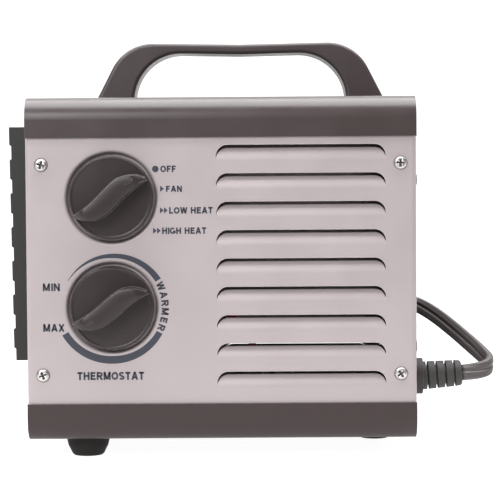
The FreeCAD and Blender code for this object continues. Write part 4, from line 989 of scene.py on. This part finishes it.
OFF_DOT = (23.8, 15.2)
OFF_DOT_RADIUS = 1.75
MODES = (("fan", 1, (26.3, 4.6), (33.7, 4.5), (8.6, 3.3)),
         ("low_heat", 2, (26.1, -7.0), (42.7, -7.1), (23.4, 3.5)),
         ("high_heat", 2, (22.3, -17.9), (39.0, -18.0), (23.7, 3.5)))
DIAL_WORDS = (("min", (-32.7, 11.1), (9.3, 4.1)), ("max", (-31.6, -10.8), (11.5, 4.1)),
              ("thermostat", (-1.2, -36.9), (36.0, 4.3)))
WARMER_LETTERS = ((23.5, 4.0), (13.6, 3.2), (4.6, 2.9), (-4.6, 3.4), (-14.0, 2.6), (-22.6, 2.9))
WARMER_RADIUS = 28.5
WARMER_STRETCH = 1.12
WARMER_HIGH = 3.9
DIAL_UPPER = ((148.6, 27.65, 27.85), (90, 26.6, 29.0), (30.5, 27.1, 30.5))
DIAL_LOWER = ((-28, 27.0, 30.4), (-90, 26.1, 30.3), (-151.2, 27.1, 30.9))


class HEATER_OT_legends(bpy.types.Operator):
    """Print the mode words, the thermostat's words and its dial"""
    bl_idname = "heater.legends"
    bl_label = "Legends"

    def execute(self, context):
        scene = context.scene
        print_disc(scene, "mark_off", SELECTOR, OFF_DOT, OFF_DOT_RADIUS)
        print_word(scene, "word_off", "OFF", SELECTOR, (30.7, 15.2), (8.3, 3.5))
        for mode, arrows, mark, middle, size in MODES:
            print_arrows(scene, "mark_" + mode, SELECTOR, *mark, arrows)
            print_word(scene, "word_" + mode, mode.replace("_", " ").upper(), SELECTOR, middle, size)
        for word, middle, size in DIAL_WORDS:
            print_word(scene, "word_" + word, word.upper(), THERMOSTAT, middle, size)
        for index, (letter, (turn, wide)) in enumerate(zip("WARMER", WARMER_LETTERS), start=1):
            swing = math.radians(turn)
            spot = (WARMER_RADIUS * math.cos(swing), WARMER_RADIUS * math.sin(swing))
            print_word(scene, f"letter_warmer_{index}", letter, THERMOSTAT, spot,
                       (wide * WARMER_STRETCH, WARMER_HIGH), math.radians(turn - 90))
        print_arc(scene, "dial_upper", THERMOSTAT, DIAL_UPPER)
        print_arc(scene, "dial_lower", THERMOSTAT, DIAL_LOWER)
        return {"FINISHED"}


class HEATER_OT_cord(bpy.types.Operator):
    """Lay the mains cord and coil it behind the heater"""
    bl_idname = "heater.cord"
    bl_label = "Mains Cord"

    def execute(self, context):
        add_cord(context.scene)
        return {"FINISHED"}


BACKDROP_BEND = 0.6
BACKDROP_STEPS = 16
FLOOR_REACH = 6.0
WALL_TOP = 4.0
FLOOR_DIM_BEFORE = -0.6
FLOOR_BRIGHT_FROM = -0.25


def add_softbox(name, place, aim, across, up, power):
    """A rectangular light that points at a spot."""
    data = bpy.data.lights.new(name, "AREA")
    data.shape = "RECTANGLE"
    data.size = across
    data.size_y = up
    data.energy = power
    light = bpy.data.objects.new(name, data)
    light.location = place
    light.rotation_euler = (Vector(aim) - Vector(place)).to_track_quat("-Z", "Y").to_euler()
    bpy.context.scene.collection.objects.link(light)
    return light


def backdrop_material():
    """White paper: it always looks white, and in front of the heater it gives off less light."""
    made = bpy.data.materials.new("Studio paper")
    made.use_nodes = True
    tree = made.node_tree
    shader = tree.nodes["Principled BSDF"]
    shader.inputs["Roughness"].default_value = 0.9
    shader.inputs["Specular IOR Level"].default_value = 0.1
    shader.inputs["Emission Strength"].default_value = 0.95
    where = add_node(tree, "ShaderNodeTexCoord")
    cloud = add_node(tree, "ShaderNodeTexNoise", {"Scale": 3.0, "Detail": 2.0})
    join(tree, where, "Object", cloud, "Vector")
    base = blended(tree, cloud.outputs["Fac"], (0.28, 0.28, 0.28, 1.0), (0.3, 0.3, 0.3, 1.0))
    tree.links.new(base, shader.inputs["Base Color"])
    parts = add_node(tree, "ShaderNodeSeparateXYZ")
    glow = add_node(tree, "ShaderNodeMapRange", {"From Min": FLOOR_DIM_BEFORE, "From Max": FLOOR_BRIGHT_FROM})
    join(tree, where, "Object", parts, "Vector")
    join(tree, parts, "Y", glow, "Value")
    path = add_node(tree, "ShaderNodeLightPath")
    either = add_node(tree, "ShaderNodeMath", operation="MAXIMUM")
    join(tree, path, "Is Camera Ray", either, 0)
    join(tree, glow, "Result", either, 1)
    lit = blended(tree, either.outputs["Value"], (0.2, 0.2, 0.2, 1.0), (1.0, 1.0, 1.0, 1.0))
    tree.links.new(lit, shader.inputs["Emission Color"])
    return made


def add_backdrop(scene):
    """A floor of white paper that curves up into a wall well behind the heater."""
    studio = scene.heater_studio
    profile = [(-FLOOR_REACH, 0.0), (studio.wall - BACKDROP_BEND, 0.0)]
    for step in range(1, BACKDROP_STEPS + 1):
        turn = math.pi / 2 * step / BACKDROP_STEPS
        profile.append((studio.wall - BACKDROP_BEND * (1 - math.sin(turn)),
                        BACKDROP_BEND * (1 - math.cos(turn))))
    profile.append((studio.wall, WALL_TOP))
    points = [(x, y, z) for y, z in profile for x in (-FLOOR_REACH, FLOOR_REACH)]
    mesh = bpy.data.meshes.new("studio_backdrop")
    mesh.from_pydata(points, [], strip_faces(len(profile), 2, closed=False))
    mesh.materials.append(backdrop_material())
    mesh.shade_smooth()
    backdrop = bpy.data.objects.new("studio_backdrop", mesh)
    scene.collection.objects.link(backdrop)
    return backdrop


def add_surround(scene):
    """A soft grey surround that the camera sees as white."""
    world = bpy.data.worlds.new("Studio surround")
    world.use_nodes = True
    tree = world.node_tree
    soft = tree.nodes["Background"]
    soft.inputs["Strength"].default_value = 1.0
    path = add_node(tree, "ShaderNodeLightPath")
    grey = (scene.heater_studio.surround,) * 3 + (1.0,)
    seen = blended(tree, path.outputs["Is Camera Ray"], grey, (1.0, 1.0, 1.0, 1.0))
    tree.links.new(seen, soft.inputs["Color"])
    scene.world = world
    return world


class HEATER_OT_stage(bpy.types.Operator):
    """Set up the backdrop, the surround, the lights and the camera"""
    bl_idname = "heater.stage"
    bl_label = "Studio"

    def execute(self, context):
        scene = context.scene
        studio = scene.heater_studio
        add_backdrop(scene)
        add_surround(scene)
        add_softbox("softbox_overhead", (0.0, -0.02, 0.95), (0.0, 0.0, 0.0), 1.6, 0.8, studio.overhead)
        add_softbox("softbox_front", (-0.7, -1.5, 0.9), (0.0, 0.0, 0.1), 0.9, 0.7, studio.front)
        add_softbox("softbox_backdrop", (0.0, 0.9, 1.6), (0.0, studio.wall, 0.3), 3.0, 0.6, studio.behind)
        level = math.cos(studio.tilt)
        view = Vector((math.sin(studio.pan) * level, math.cos(studio.pan) * level, math.sin(studio.tilt)))
        right = Vector((math.cos(studio.pan), -math.sin(studio.pan), 0))
        up = right.cross(view)
        turned = Matrix((right, up, -view)).transposed() @ Matrix.Rotation(studio.roll, 3, "Z")
        data = bpy.data.cameras.new("studio_camera")
        data.lens = studio.lens
        data.sensor_width = 36
        data.clip_start = 0.05
        data.clip_end = 100
        camera = bpy.data.objects.new("studio_camera", data)
        camera.matrix_world = Matrix.Translation(studio.place) @ turned.to_4x4()
        scene.collection.objects.link(camera)
        scene.camera = camera
        scene.view_settings.view_transform = "Standard"
        return {"FINISHED"}


STEPS = (HEATER_OT_stage, HEATER_OT_cord, HEATER_OT_casing, HEATER_OT_fittings, HEATER_OT_inside,
         HEATER_OT_knobs, HEATER_OT_legends)
GROUPS = {"heater_colours": HeaterColours, "heater_sizes": HeaterSizes, "heater_studio": HeaterStudio}


class HEATER_PT_sidebar(bpy.types.Panel):
    """The heater's values and its steps"""
    bl_idname = "HEATER_PT_sidebar"
    bl_label = "Ceramic Space Heater"
    bl_space_type = "VIEW_3D"
    bl_region_type = "UI"
    bl_category = "Heater"

    def draw(self, context):
        for group in GROUPS:
            held = getattr(context.scene, group)
            box = self.layout.box()
            for name in held.__annotations__:
                box.prop(held, name)
        for step in STEPS:
            self.layout.operator(step.bl_idname)


CLASSES = (*GROUPS.values(), *STEPS, HEATER_PT_sidebar)


def register():
    """Add the classes and the scene's values."""
    for item in CLASSES:
        bpy.utils.register_class(item)
    for name, group in GROUPS.items():
        setattr(bpy.types.Scene, name, PointerProperty(type=group))


def unregister():
    """Take the scene's values and the classes away again."""
    for name in GROUPS:
        delattr(bpy.types.Scene, name)
    for item in reversed(CLASSES):
        bpy.utils.unregister_class(item)


def main():
    """Build everything in order."""
    register()
    for step in STEPS:
        family, name = step.bl_idname.split(".")
        getattr(getattr(bpy.ops, family), name)()


if __name__ == "__main__":
    main()
